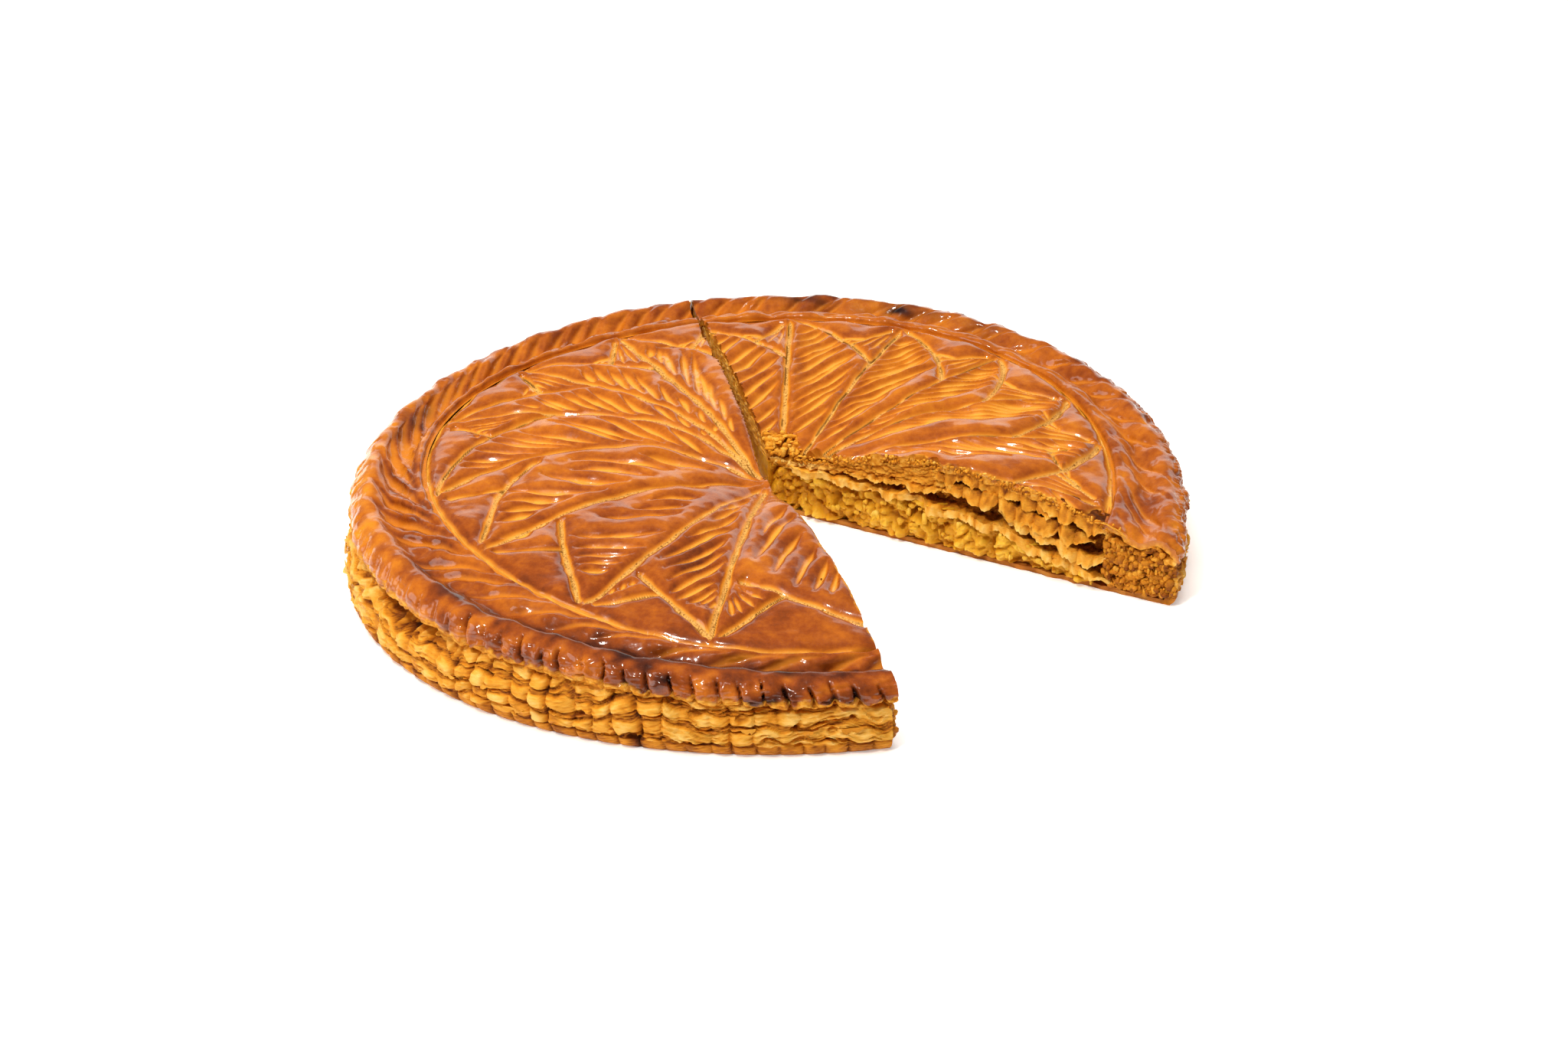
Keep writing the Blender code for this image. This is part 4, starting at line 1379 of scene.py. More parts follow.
    def tones(
        self, x: Array, y: Array, height: Array, angle: Array, rows: Array, inset: Array,
        cut: Array, notch: Array,
    ) -> Values:
        """Painted values of the rim: dark, glossy pads in front, paler ones to the left and back.

        Args:
            x: points' x in plan, in mm.
            y: their y.
            height: their height.
            angle: angles of the columns.
            rows: knot number reached by each row.
            inset: insets from the rim.
            cut: how deep each point lies in a scored line.
            notch: how deep it lies in a finger mark.

        Returns:
            The values cut, bake, burn and torn.
        """
        turn = np.broadcast_to(angle[None, :], x.shape)
        pads = smooth(rows, 3.6, 4.6)
        front = bump(turn, 258, 40)
        left = bump(turn, 178, 36)
        back = bump(turn, 75, 50)
        bake = 0.47 + 1.3 * GlazeTones(x, y).mottle() + 0.08 * (1 - cut) * (1 - pads)
        bake += pads * (0.09 * front - 0.12 * left + 0.05 + 0.12 * back) + 0.05 * front
        bake -= 0.10 * left + 0.06 * back
        # Painted shade on the steep sides of the strokes on the left.
        bake += 0.26 * left * (1 - pads) * np.exp(-(((cut - 0.22) / 0.14) ** 2))
        furrow = np.exp(-(((inset - CAKE.setback(turn) - 11.5) / 3.2) ** 2))
        # The furrow is darker in front; the finger marks are darkened as painted shade.
        bake += 0.50 * furrow * front + 0.24 * notch * front + 0.10 * notch
        bake += 0.08 * waves(56, 6, x, y, height) * pads
        ragged = rows + 0.16 * waves(57, 3.5, x, y, height) + 0.14 * waves(59, 12, x, y)
        lower = smooth(ragged, 6.35 - 0.5 * left, 6.75 - 0.5 * left)
        burn = np.zeros(x.shape)
        for middle, spread, strength in BURNT_PATCHES:
            burn = np.maximum(burn, strength * bump(turn, middle, spread))
        patchy = 0.8 + 0.35 * waves(53, 5, 0.35 * CAKE.furrow_radius * turn, inset)
        scorched = np.exp(-(((inset - CAKE.setback(turn) - 9.6) / 2.6) ** 2))
        burn = unit(1.25 * burn * scorched * patchy)
        torn = unit(lower * (1 - 0.45 * notch * front))
        return dict(cut=cut, bake=np.clip(bake, 0, 1.2), burn=burn, torn=torn)


# The flaky side

@dataclass
class Side(Part):
    """The flaky side under the pads: layers of puff pastry, ribbed by the finger marks.

    Thick puffed layers take turns with thin ones, from a smooth foot up to under the pads. Each
    layer bulges like half an ellipse and stands out by waves of its own.
    """

    name = "side"
    thickness: float = 3.2
    layers: tuple[float, ...] = (
        3.7, 0.55, 0.5, 3.9, 0.5, 0.55, 0.5, 3.6, 0.5, 0.6, 0.5, 3.2, 0.6, 0.6, 3, 0.7, 3,
    )
    counts: tuple[int, ...] = (10, 20, 22, 20, 12)
    end_setback: float = 1.5
    underside_step: int = 4

    # The tone carries painted light and shade: darker in creases, holes, finger marks and at the sides of
    # the ribs, lighter on flakes, bulges and puffs that stand out, over the pastry's own uneven tone.
    def relief(self, angle: Array, z: Array) -> tuple[Array, Array]:
        """How far each point stands out, and its tone from dark creases to pale flakes.

        Args:
            angle: angles, in radians.
            z: heights, in millimetres.

        Returns:
            The relief and the tone.
        """
        piece = self.piece
        count = len(piece.mark_angles())
        draw = self.draws(70)
        s = angle * CAKE.side_radius
        foot = 1 - smooth(z, 3.2, 4.4)
        shift = (0.50 * waves(71, 16, s, z) * (1 - foot) + 0.1 * z) / CAKE.side_radius
        pad, across, turn, mark = piece.on_marks(angle + shift)
        gap = turn * CAKE.side_radius
        offset, depth = draw.uniform(-0.5, 0.5, count), draw.uniform(0.35, 1, count)
        ribbed = 0.30 + 0.80 * bump(angle, 236, 26) + 0.30 * waves(78, 24, s, z)
        ribbed = np.clip(ribbed, 0.10, 1)
        cushion = bump(angle, 203, 15) * (1 - foot)
        ribbed = np.maximum(ribbed * (1 - 0.7 * cushion), 0.75 * foot)
        notch = depth[mark] * np.exp(-((gap / (0.40 + 0.25 * (1 - foot))) ** 2)) * ribbed
        height = z + (1 - foot) * (1.1 * waves(72, 30, s, z) + 0.45 * waves(73, 8, s, z))
        height += (1 - foot) * 1.2 * offset[pad] * ribbed + 0.25 * waves(79, 10, s)
        bounds = np.concatenate([[-2], np.cumsum(self.layers), [99]])
        layer = np.clip(np.searchsorted(bounds, height) - 1, 0, len(self.layers))
        thick = (bounds[1:] - bounds[:-1])[layer]
        within = unit((height - bounds[layer]) / thick)
        thick = np.minimum(thick, 5)
        ledge = waves(74, 16, s + 211 * layer)
        tint = waves(75, 9, s + 97 * layer)
        crease = np.exp(-((np.minimum(within, 1 - within) * thick / 0.20) ** 2))
        split = puffs(82, ((7, 1),), 0.45 * s, 1.9 * z)
        flaky = (1 - foot) * (1 - 0.6 * ribbed)
        leaf = height / 1.55 + 0.35 * waves(83, 14, s, z)
        leaf_edge = leaf - np.floor(leaf)
        leaves = flaky * (leaf_edge ** 2 - 0.33)
        leaves = leaves * (1 + 0.5 * waves(84, 10, s + 61 * np.floor(leaf)))
        fine = waves(76, 1.8, 0.7 * s, 2.2 * z)
        hole = smooth(waves(77, 10, s, 1.6 * z), 1.6, 2.1) * (1 - foot)
        bulge = np.sqrt(unit(1 - (2 * within - 1) ** 2))
        thin = smooth(-thick, -1.4, -1)
        round_rib = np.sqrt(unit(1 - across ** 2))
        out = 1.25 * bulge * (1 - thin) * (1 - 0.6 * foot) * (0.45 + 0.55 * round_rib * ribbed)
        out += 0.45 * ledge * (1 - 0.8 * foot) + 0.55 * flaky * split
        out += 0.95 * round_rib * ribbed - 1.2 * notch
        out += 0.07 * fine - 1.6 * hole - 0.30 * crease + 0.75 * leaves
        # Painted light and shade: the tone follows the relief, with painted shade in creases, holes and
        # finger marks.
        tone = 0.66 + 0.16 * leaves - 0.13 * thin + 0.07 * tint + 0.04 * ledge
        tone -= 0.26 * crease + 0.28 * notch
        tone += 0.04 * fine - 0.25 * hole - foot * 0.19 + 0.07 * bulge * (1 - thin) * (1 - foot)
        tone += 0.10 * flaky * split - 0.05 * smooth(np.abs(across), 0.6, 1) * ribbed
        plump = puffs(85, ((13, 1),), 0.8 * s, z)
        out = out * (1 - 0.45 * cushion) + 0.9 * cushion * plump
        # Painted light on the puffs of the cushions; the side is also lighter round 275 degrees.
        tone += cushion * (0.10 + 0.10 * plump) + 0.07 * bump(angle, 275, 14) * (1 - foot)
        tone -= 0.05 * foot
        return out - 0.9, tone

    def seam(self, angle: Array, z: Array) -> Array:
        """The open mouth of the seam, front left: deepest in its middle.

        Args:
            angle: angles, in radians.
            z: heights, in millimetres.

        Returns:
            1 in the mouth and 0 elsewhere.
        """
        s = angle * CAKE.side_radius
        middle = 15.5 + 0.8 * waves(88, 12, s)
        mouth = np.exp(-(((z - middle) / 2.2) ** 4)) * bump(angle, 214.5, 6)
        return unit(mouth + 0.25 * waves(89, 3, s, z) * (mouth > 0.2))

    def shape(self) -> None:
        """The side from under the pads down to the table."""
        piece = self.piece
        angle = piece.angles(4 * piece.fineness + 1)
        held = self.end_setback / CAKE.side_radius
        first = angle[0] + (held if piece.open_cut is Cut.START else 0)
        last = angle[-1] - (held if piece.open_cut is Cut.END else 0)
        angle = np.linspace(first, last, len(angle))
        crest, back, seam = CAKE.crest(angle), CAKE.setback(angle), CAKE.seam(angle)
        knots = [
            (6 + back + 0.6 * seam, 0.72 * crest),
            (2.8 + back + seam, 0.635 * crest),
            (1.3 + 0.35 * seam, 0.47 * crest),
            (1, 0.27 * crest),
            (1.6, 0.10 * crest),
            (3.4, 0),
        ]
        inset, z = section_curves(knots, angle, self.counts)
        turn = np.broadcast_to(angle[None, :], z.shape)
        out, tone = self.relief(turn, z)
        mouth = self.seam(turn, z)
        settled = smooth(z, 0, 1.4)
        out = np.minimum(out, 0.8 + 0.6 * np.tanh((out - 0.8) / 0.6))
        ends = np.minimum(turn - turn[0, 0], turn[0, -1] - turn) * CAKE.side_radius
        out = out * (0.35 + 0.65 * smooth(ends, 0, 3))
        # Painted shade under the overhanging pads and in the open mouth of the seam.
        tone -= 0.16 * smooth(z / crest, 0.61, 0.68) + 0.45 * mouth
        inset = inset - np.maximum(out, -3) * (0.25 + 0.75 * settled) * (1 - 0.6 * mouth)
        inset = inset + 6 * mouth
        x, y = piece.ray(turn, inset)
        top = np.stack([x, y, np.maximum(z, 0)], -1)
        step = self.underside_step
        ux, uy = piece.ray(turn, inset + self.thickness)
        under = np.stack([ux, uy, np.maximum(z, 0)], -1)[::step, ::step]
        self.mesh.add_sheet(top, under, dict(tone=unit(tone)), {}, step)


# The base

@dataclass
class Base(Part):
    """The thin baked base, flat underneath."""

    name = "base"
    rows: int = 60
    columns: int = 241
    height: float = 1.5
    inset: float = 5.6

    def shape(self) -> None:
        """The base, its open cut edge a little ragged."""
        piece = self.piece
        angle, share = np.meshgrid(piece.angles(self.columns), np.linspace(0.004, 1, self.rows + 1))
        x, y = piece.between(share, *piece.ray(angle, self.inset))
        _, facing, _ = piece.cut_frame(piece.open_cut)
        _, deep = piece.cut_distance(x, y, piece.open_cut)
        push = (-1.2 + 0.3 * waves(91, 3, x, y)) * np.exp(-np.maximum(deep, 0) / 0.8)
        x, y = x + push * facing[0], y + push * facing[1]
        z = self.height + 0.15 * waves(92, 5, x, y)
        tone = 0.60 + 0.12 * waves(93, 4, x, y)
        top, under = np.stack([x, y, z], -1), np.stack([x, y, 0 * z], -1)
        self.mesh.add_sheet(top, under, dict(tone=tone), {}, 1)


# Crumbs

def ball_points() -> tuple[Array, Array]:
    """A ball of 56 points and its faces: the skin of a block of four points each way, blown up."""
    along, across, up, faces = block_lattice((4, 4, 4))
    points = np.stack([along, across, up], 1) * 2.0 - 1.0
    return points / np.linalg.norm(points, axis=1)[:, None], faces


def add_crumbs(mesh: PieceMesh, centres: Array, sizes: Array, seed: int, tone: Array) -> None:
    """Add crumbs to a piece: balls made uneven by waves of their own, all in one array.

    Args:
        mesh: the piece.
        centres: middles of the crumbs.
        sizes: their radii.
        seed: start of the random draw.
        tone: painted tone of each crumb.
    """
    draw = np.random.default_rng(seed)
    ball, faces = ball_points()
    count = len(centres)
    stretch = draw.uniform(0.7, 1.25, (count, 1, 3))
    phase = draw.uniform(0.0, TAU, (count, 1, 3))
    pitch = draw.uniform(0.7, 1.3, (count, 1, 3))
    knobs = 1.0 + 0.22 * np.sin(3.0 * ball[None] * pitch + phase).sum(2, keepdims=True)
    points = centres[:, None, :] + ball[None] * stretch * knobs * sizes[:, None, None]
    every = (faces[None] + (np.arange(count) * len(ball))[:, None, None]).reshape(-1, 4)
    # Painted light: each crumb is painted lighter on top and darker underneath.
    shade = np.repeat(tone, len(ball)) + 0.12 * np.tile(ball[:, 2], count)
    mesh.add(points.reshape(-1, 3), [every], dict(tone=unit(shade)))


# The filling and the pastry behind the cuts

@dataclass
class Wedge:
    """A block of points that fills a piece in plan, from just off its apex outwards.

    The plan is the straight lines from the apex to a curve beside the rim, and the two cut faces
    are then pushed in and out by a relief.
    """

    piece: CutPiece
    counts: tuple[int, int, int]
    inset: Callable[[Array], Array]
    first: float = 0.006

    def __post_init__(self) -> None:
        """Work out the points' plan and the faces."""
        u, self.v, self.w, self.faces = block_lattice(self.counts)
        share = self.first + (1 - self.first) * u
        angle = math.radians(self.piece.start) + self.v * self.piece.span
        self.x, self.y = self.piece.between(share, *self.piece.ray(angle, self.inset(angle)))

    def carve(self, z: Array, relief_at: Callable[[Array, Array, Cut], tuple[Array, Array]]) -> Values:
        """Push the cut faces out by their relief.

        Args:
            z: heights of all the points.
            relief_at: relief and tone from which points lie on a cut, their places along it, and
                the cut.

        Returns:
            The painted tone, which is middling off the faces.
        """
        tone = np.full(z.shape, 0.5)
        for cut in Cut:
            on_face = self.v == float(cut.value)
            _, facing, _ = self.piece.cut_frame(cut)
            d, _ = self.piece.cut_distance(self.x[on_face], self.y[on_face], cut)
            relief, tone[on_face] = relief_at(on_face, d, cut)
            self.x[on_face] += relief * facing[0]
            self.y[on_face] += relief * facing[1]
        return dict(tone=unit(tone))


@dataclass
class Filling(Part):
    """The almond filling, which runs through the piece and is lumpy where it was cut."""

    name = "filling_crumb"
    slot = Slot.FILLING
    stands_for = "filling"
    counts: tuple[int, int, int] = (330, 22, 44)
    sunk: float = 1.0
    loose_crumbs: int = 45

    def shape(self) -> None:
        """The filling as one block with its two cut faces in relief."""
        wedge = Wedge(self.piece, self.counts, lambda angle: CAKE.rim(angle) - CAKE.filling_radius)
        low = CAKE.base_thickness - self.sunk
        z = low + wedge.w * (CAKE.ceiling(wedge.x, wedge.y) - low)
        values = wedge.carve(z, lambda on_face, d, cut: self.face(d, z[on_face], cut))
        self.mesh.add(np.stack([wedge.x, wedge.y, z], 1), [wedge.faces], values)
        self.loose()

    # Painted light and shade on the cut faces: the tone follows the relief, lighter on the puffs and
    # darker in the hollows.
    def face(self, d: Array, z: Array, cut: Cut) -> tuple[Array, Array]:
        """A cut face: puffs of four sizes over hollows.

        Args:
            d: places along the cut, in millimetres.
            z: heights.
            cut: which of the two cuts.

        Returns:
            The relief and the tone.
        """
        seed = self.piece.seed + 200 + cut.value
        relief = puffs(seed, ((14, 1.8), (6, 1.3), (2.8, 0.5), (1.3, 0.18)), d, z)
        hollow = smooth(waves(seed + 30, 15, d, 1.8 * z), 0.5, 1.6)
        relief = relief - 0.6 - 1.2 * hollow
        # Painted light on the puffs and painted shade in the hollows.
        tone = 0.63 + 0.095 * relief + 0.04 * waves(seed + 31, 8, d, z) - 0.05 * hollow
        if cut is not self.piece.open_cut:
            return 0.12 * relief - 0.3, 0.78 + 0.3 * (tone - 0.5)
        return relief, tone

    def loose(self) -> None:
        """Crumbs that stand out of the open cut."""
        piece = self.piece
        draw = self.draws(230)
        _, _, length = piece.cut_frame(piece.open_cut)
        count = self.loose_crumbs
        d = draw.uniform(8, length - 34, count)
        room = CAKE.ceiling(*piece.beside(d, 0)) - CAKE.base_thickness
        size = draw.uniform(0.4, 1.2, count)
        z = CAKE.base_thickness + 0.6 + draw.uniform(0.05, 0.95, count) * np.maximum(room - 1, 0.5)
        proud = draw.uniform(-0.6, 0.5, count)
        centres = np.column_stack([*piece.beside(d, proud + 0.1), z])
        add_crumbs(self.mesh, centres, size, piece.seed + 231, 0.62 + 0.22 * draw.random(count))


@dataclass
class Core(Part):
    """The baked layers between the filling and the lid, hollow behind the open cut.

    The block reaches from the filling's top to under the lid, and beyond the filling from the
    base to under the rim.
    """

    name = "layers"
    counts: tuple[int, int, int] = (300, 22, 46)
    recess: float = 6.0
    edge_inset: float = 6.5
    edge_height: float = 2.6
    rim_grains: int = 380
    tip_grains: int = 90

    def edge(self, angle: Array) -> Array:
        """Inset of the block's outer face from the rim."""
        return self.edge_inset + CAKE.setback(angle) + 1.2 * CAKE.seam(angle)

    def shape(self) -> None:
        """The block, with the open cut sunk back where the layers have parted."""
        piece = self.piece
        wedge = Wedge(piece, self.counts, self.edge)
        x, y, v, w = wedge.x, wedge.y, wedge.v, wedge.w
        radius = np.hypot(x, y)
        beyond = smooth(radius, CAKE.filling_radius - 1, CAKE.filling_radius + 1.5)
        low = (CAKE.ceiling(x, y) - 0.6) * (1 - beyond) + self.edge_height * beyond
        inset = CAKE.rim(np.arctan2(y, x)) - radius
        faces_cut = (v == 0) | (v == 1)
        high = piece.top(x, y) - np.where(faces_cut, 2.6, 4.6) - 2.5 * smooth(-inset, -9, -4)
        z = low + w * (high - low)
        values = wedge.carve(z, lambda on_face, d, cut: self.face(d, z[on_face], w[on_face], cut))
        self.mesh.add(np.stack([x, y, z], 1), [wedge.faces], values)
        self.grains()
        if piece.tip_sag:
            self.tip_crumbs()

    # Painted shade: the cut faces are darker in the recess where the layers have parted, in creases and
    # in holes, and the crumb's bumps are painted lighter.
    def face(self, d: Array, z: Array, w: Array, cut: Cut) -> tuple[Array, Array]:
        """A cut face: layers pressed together by the knife, or parted and crumbly.

        Args:
            d: places along the cut, in millimetres.
            z: heights.
            w: shares of the way up the block.
            cut: which of the two cuts.

        Returns:
            The relief and the tone.
        """
        _, _, length = self.piece.cut_frame(cut)
        seed = self.piece.seed + 300 + cut.value
        phase = z / 1.5 + 0.5 * waves(seed, 18, d, z) + 0.2 * waves(seed + 1, 5, d, z)
        within = phase - np.floor(phase)
        crease = np.exp(-((np.minimum(within, 1 - within) / 0.16) ** 2))
        tint = waves(seed + 2, 6, d + 97 * np.floor(phase))
        if cut is not self.piece.open_cut:
            # Painted shade in the creases of the closed face.
            return -0.3 - 0.15 * crease + 0.10 * tint, 0.82 + 0.05 * tint - 0.12 * crease
        end = smooth(d, length - 28, length - 20)
        rough = w + 0.06 * waves(seed + 3, 9, d) + 0.04 * waves(seed + 4, 2, d)
        upper = smooth(rough, 0.34, 0.40) * (1 - smooth(d + 4 * w, 62, 72))
        near_tip = 1 - smooth(d, 16, 26)
        parted = (1 - end) * (1 - upper) * (1 - near_tip)
        crumb = puffs(seed + 50, ((4.5, 1.1), (2.2, 0.6), (1.1, 0.22)), d, z)
        leafy = puffs(seed + 60, ((6, 0.7), (2.6, 0.5), (1.3, 0.2)), d, 1.7 * z)
        relief = -self.recess * parted - 0.8 * end - 0.6 * near_tip - 0.8 * upper * (1 - near_tip)
        relief += 1 * crumb * end + 0.9 * crumb * near_tip + leafy * (1 - end) * (1 - near_tip)
        hole = smooth(waves(seed + 7, 4, d, z), 1, 1.7) * end
        relief -= 1.8 * hole + 0.3 * crease * (1 - end)
        # Painted shade in the parted recess, which keeps the low tone while the flush upper band is
        # lighter; painted light on the crumb's bumps, painted shade in creases and holes.
        tone = 0.34 + 0.04 * end + 0.32 * near_tip + 0.28 * upper + 0.12 * crumb * (end + near_tip)
        tone += 0.09 * leafy * (1 - end) + 0.04 * tint
        return relief, tone - 0.10 * crease * (1 - end) - 0.22 * hole

    def grains(self) -> None:
        """Coarse crumb that stands out where the open cut ends at the rim."""
        piece = self.piece
        draw = self.draws(330)
        _, _, length = piece.cut_frame(piece.open_cut)
        count = self.rim_grains
        inset = draw.uniform(2.2, 25, count)
        d = length - inset
        edge = CAKE.crest(math.radians(piece.start if piece.open_cut is Cut.START else piece.end))
        top = piece.top(*piece.beside(d, 0)) - 3.4
        high = 0.60 * edge + (top - 0.60 * edge) * smooth(inset, 3.5, 8)
        z = 2.4 + draw.random(count) * (high - 2.4)
        out = draw.uniform(-1.8, -0.4, count) - 0.6 * smooth(-inset, -5, -3)
        size = draw.uniform(0.35, 1.2, count)
        tone = 0.20 + 0.45 * draw.random(count)
        centres = np.column_stack([*piece.beside(d, out), z])
        add_crumbs(self.mesh, centres, size, piece.seed + 331, tone)

    def tip_crumbs(self) -> None:
        """Coarse crumb over the sagging tip, where the lid has broken off."""
        piece = self.piece
        count = self.tip_grains
        draw = self.draws(340)
        angle = math.radians(piece.start) + draw.uniform(0.02, 0.98, count) * piece.span
        away = 11 * np.sqrt(draw.random(count))
        x, y = piece.apex[0] + away * np.cos(angle), piece.apex[1] + away * np.sin(angle)
        size = draw.uniform(0.35, 1.15, count)
        z = piece.lid(x, y) - 1.6 + draw.uniform(-0.3, 0.4, count)
        tone = 0.46 + 0.26 * draw.random(count)
        add_crumbs(self.mesh, np.column_stack([x, y, z]), size, piece.seed + 341, tone)


@dataclass(frozen=True)
class Ledge:
    """One thin baked layer that stands out at an open cut and hangs down at its edge.

    level is its height as a share of the gap from the filling to the lid, hang how far its edge
    hangs down at its start and at its end, proud how far it stands out, ruffle how strongly it is
    crimped, and tone how pale it is at the edge.
    """

    start: float
    end: float
    level: float
    hang: tuple[float, float]
    proud: float
    ruffle: float
    tone: float
    thickness: float = 0.4


@dataclass
class OpenCut(Part):
    """The thin layers at an open cut: ruffled sheets with ragged, hanging edges."""

    name = "cut_layers"
    ledges: tuple[Ledge, ...]
    depth: float = 8.5
    fold_pitch: float = 6.4
    bend: float = 0.9
    column_width: float = 0.50
    rows: int = 21
    underside_step: int = 2
    lip_grains: int = 420

    def level(self, d: Array, share: Array) -> Array:
        """Height of a layer at the open cut.

        Args:
            d: places along the cut, in millimetres.
            share: shares of the gap between the filling's top and the lid.

        Returns:
            The heights.
        """
        x, y = self.piece.beside(d, 0)
        radius = np.hypot(x, y)
        beyond = smooth(radius, CAKE.filling_radius - 10, CAKE.filling_radius + 4)
        low = CAKE.ceiling(x, y) * (1 - beyond) + 3.4 * beyond
        high = self.piece.top(x, y) - 1.9
        return low + share * (high - low)

    def add_ledge(self, ledge: Ledge, seed: int) -> None:
        """Add one layer.

        Along its depth the sheet first rises from its free edge, then bends level and runs back
        behind the cut. Ruffles push it in and out where it hangs and up and down where it is level.

        Args:
            ledge: the layer's sizes.
            seed: start of the random draws.
        """
        piece = self.piece
        _, facing, _ = piece.cut_frame(piece.open_cut)
        columns = 2 * int((ledge.end - ledge.start) / self.column_width) + 1
        line = np.linspace(ledge.start, ledge.end, columns)
        d, m = np.meshgrid(line, np.linspace(0, 1, self.rows))
        ends = smooth(d, ledge.start, ledge.start + 8) * smooth(-d, -ledge.end, 8 - ledge.end)
        hang = np.interp(d, (ledge.start, ledge.end), ledge.hang)
        fold = math.pi * d / self.fold_pitch + 0.45 * waves(seed + 4, 22, d)
        lobes = np.minimum(1.15 * np.abs(np.cos(fold)) ** 0.5, 1)
        teeth = 0.15 * waves(seed + 1, 3.2, d) + 0.12 * waves(seed + 2, 1.2, d)
        uneven = 1 + 0.15 * waves(seed, 10, d)
        hang = hang * (1 - 0.22 * ledge.ruffle * (1 - lobes)) * uneven
        hang = np.maximum((hang + teeth) * ends, 0) + 0.3
        a = m ** 1.3 * (hang + self.depth)
        fallen = np.maximum(hang - a, 0)
        level = np.maximum(a - hang, 0)
        round_off = self.bend * np.exp(-level / self.bend) * (1 - np.exp(-hang))
        out = ledge.proud + 0.5 * waves(seed + 3, 11, d) - 1.6 * (1 - ends) - level
        out += 0.25 * fallen + 0.6 * round_off * (level > 0)
        crimp = 2 * lobes - 1.3 + 0.40 * waves(seed + 5, 4, d, 6 * m)
        crimp += 0.15 * waves(seed + 10, 1.6, d, a)
        edgeward = np.exp(-level / 2)
        out += 0.8 * ledge.ruffle * crimp * edgeward * unit(0.35 + fallen / 3)
        z = self.level(d, ledge.level + 0.04 * waves(seed + 6, 20, d)) - fallen
        z += 0.5 * ledge.ruffle * crimp * edgeward * (level > 0) + 0.30 * waves(seed + 7, 5, d, a)
        z += 0.06 * waves(seed + 8, 2, d, a)
        top = np.stack([*piece.beside(d, out), z], -1)
        lean = unit(fallen)[..., None]
        down = np.array((0, 0, -1)) * (1 - lean) - np.array((*facing, 0)) * lean
        step = self.underside_step
        under = (top + ledge.thickness * down)[::step, ::step]
        # Painted shade where the sheet runs back behind the cut, painted light and shade on the ruffles;
        # the hanging curtain is darker and its free edge paler.
        tone = ledge.tone - 0.04 - 0.36 * smooth(level, 0, 4) + 0.07 * waves(seed + 9, 3, d, a)
        hanging = smooth(a, 0.8, 3.5) * smooth(hang, 1.5, 3)
        tone += 0.09 * crimp + 0.14 * np.exp(-a / 0.8) - 0.16 * hanging
        self.mesh.add_sheet(top, under, dict(tone=unit(tone)), {}, step)

    def add_lip(self) -> None:
        """Add the golden grains the knife has left along the lid's cut edge."""
        draw = self.draws(480)
        _, _, length = self.piece.cut_frame(self.piece.open_cut)
        count = self.lip_grains
        d = draw.uniform(9, 0.86 * length, count)
        below = draw.random(count)
        out = 0.30 * waves(self.piece.seed + 481, 6, d) - 0.3 + 0.5 * below - 0.6 * draw.random(count)
        x, y = self.piece.beside(d, out)
        z = self.piece.lid(x, y) - 0.35 - 2.2 * below
        tone = 0.62 - 0.20 * below + draw.uniform(-0.14, 0.14, count)
        size = draw.uniform(0.22, 0.55, count)
        add_crumbs(self.mesh, np.column_stack([x, y, z]), size, self.piece.seed + 482, tone)

    def shape(self) -> None:
        """All the layers of the cut in one mesh."""
        for number, ledge in enumerate(self.ledges):
            self.add_ledge(ledge, self.piece.seed + 500 + 20 * number)
        if self.piece.tip_sag:
            self.add_lip()


def add_flakes(
    mesh: PieceMesh, centres: Array, sideways: Array, down: Array, sizes: Array, tone: Array, seed: int,
) -> None:
    """Add flakes of pastry: small sheets bent along their length, all in one array.

    Args:
        mesh: the piece.
        centres: middle of each flake's upper edge.
        sideways: unit vector along each flake.
        down: unit vector down each flake.
        sizes: length and height of each.
        tone: painted tone of each.
        seed: start of the random draw.
    """
    draw = np.random.default_rng(seed)
    count, rows, columns = len(centres), 4, 9
    a, b = np.meshgrid(np.linspace(-0.5, 0.5, columns), np.linspace(0.0, 1.0, rows))
    normal = np.cross(sideways, down)
    normal /= np.linalg.norm(normal, axis=1)[:, None]
    phase = draw.uniform(0.0, TAU, (count, 1, 1))
    ragged = 1.0 + 0.28 * np.sin(9.0 * a + phase) + 0.2 * np.sin(21.0 * a + 2.0 * phase)
    curl = draw.uniform(-0.10, 0.10, (count, 1, 1)) * sizes[:, :1, None]
    wide = (1.0 - 0.45 * b ** 2) * a
    place = (
        centres[:, None, None, :]
        + (sizes[:, 0, None, None] * wide)[..., None] * sideways[:, None, None, :]
        + (sizes[:, 1, None, None] * b * ragged)[..., None] * down[:, None, None, :]
        + (curl * (4 * a ** 2 - b ** 2))[..., None] * normal[:, None, None, :]
    )
    other = place - 0.32 * normal[:, None, None, :]
    faces = sheet_faces(rows, columns, 1)
    size = 2 * rows * columns
    points = np.concatenate([place.reshape(count, -1, 3), other.reshape(count, -1, 3)], 1)
    shift = (np.arange(count) * size)[:, None, None]
    every = [(face[None] + shift).reshape(-1, face.shape[1]) for face in faces]
    shade = np.repeat(tone, size)
    mesh.add(points.reshape(-1, 3), every, dict(tone=shade))


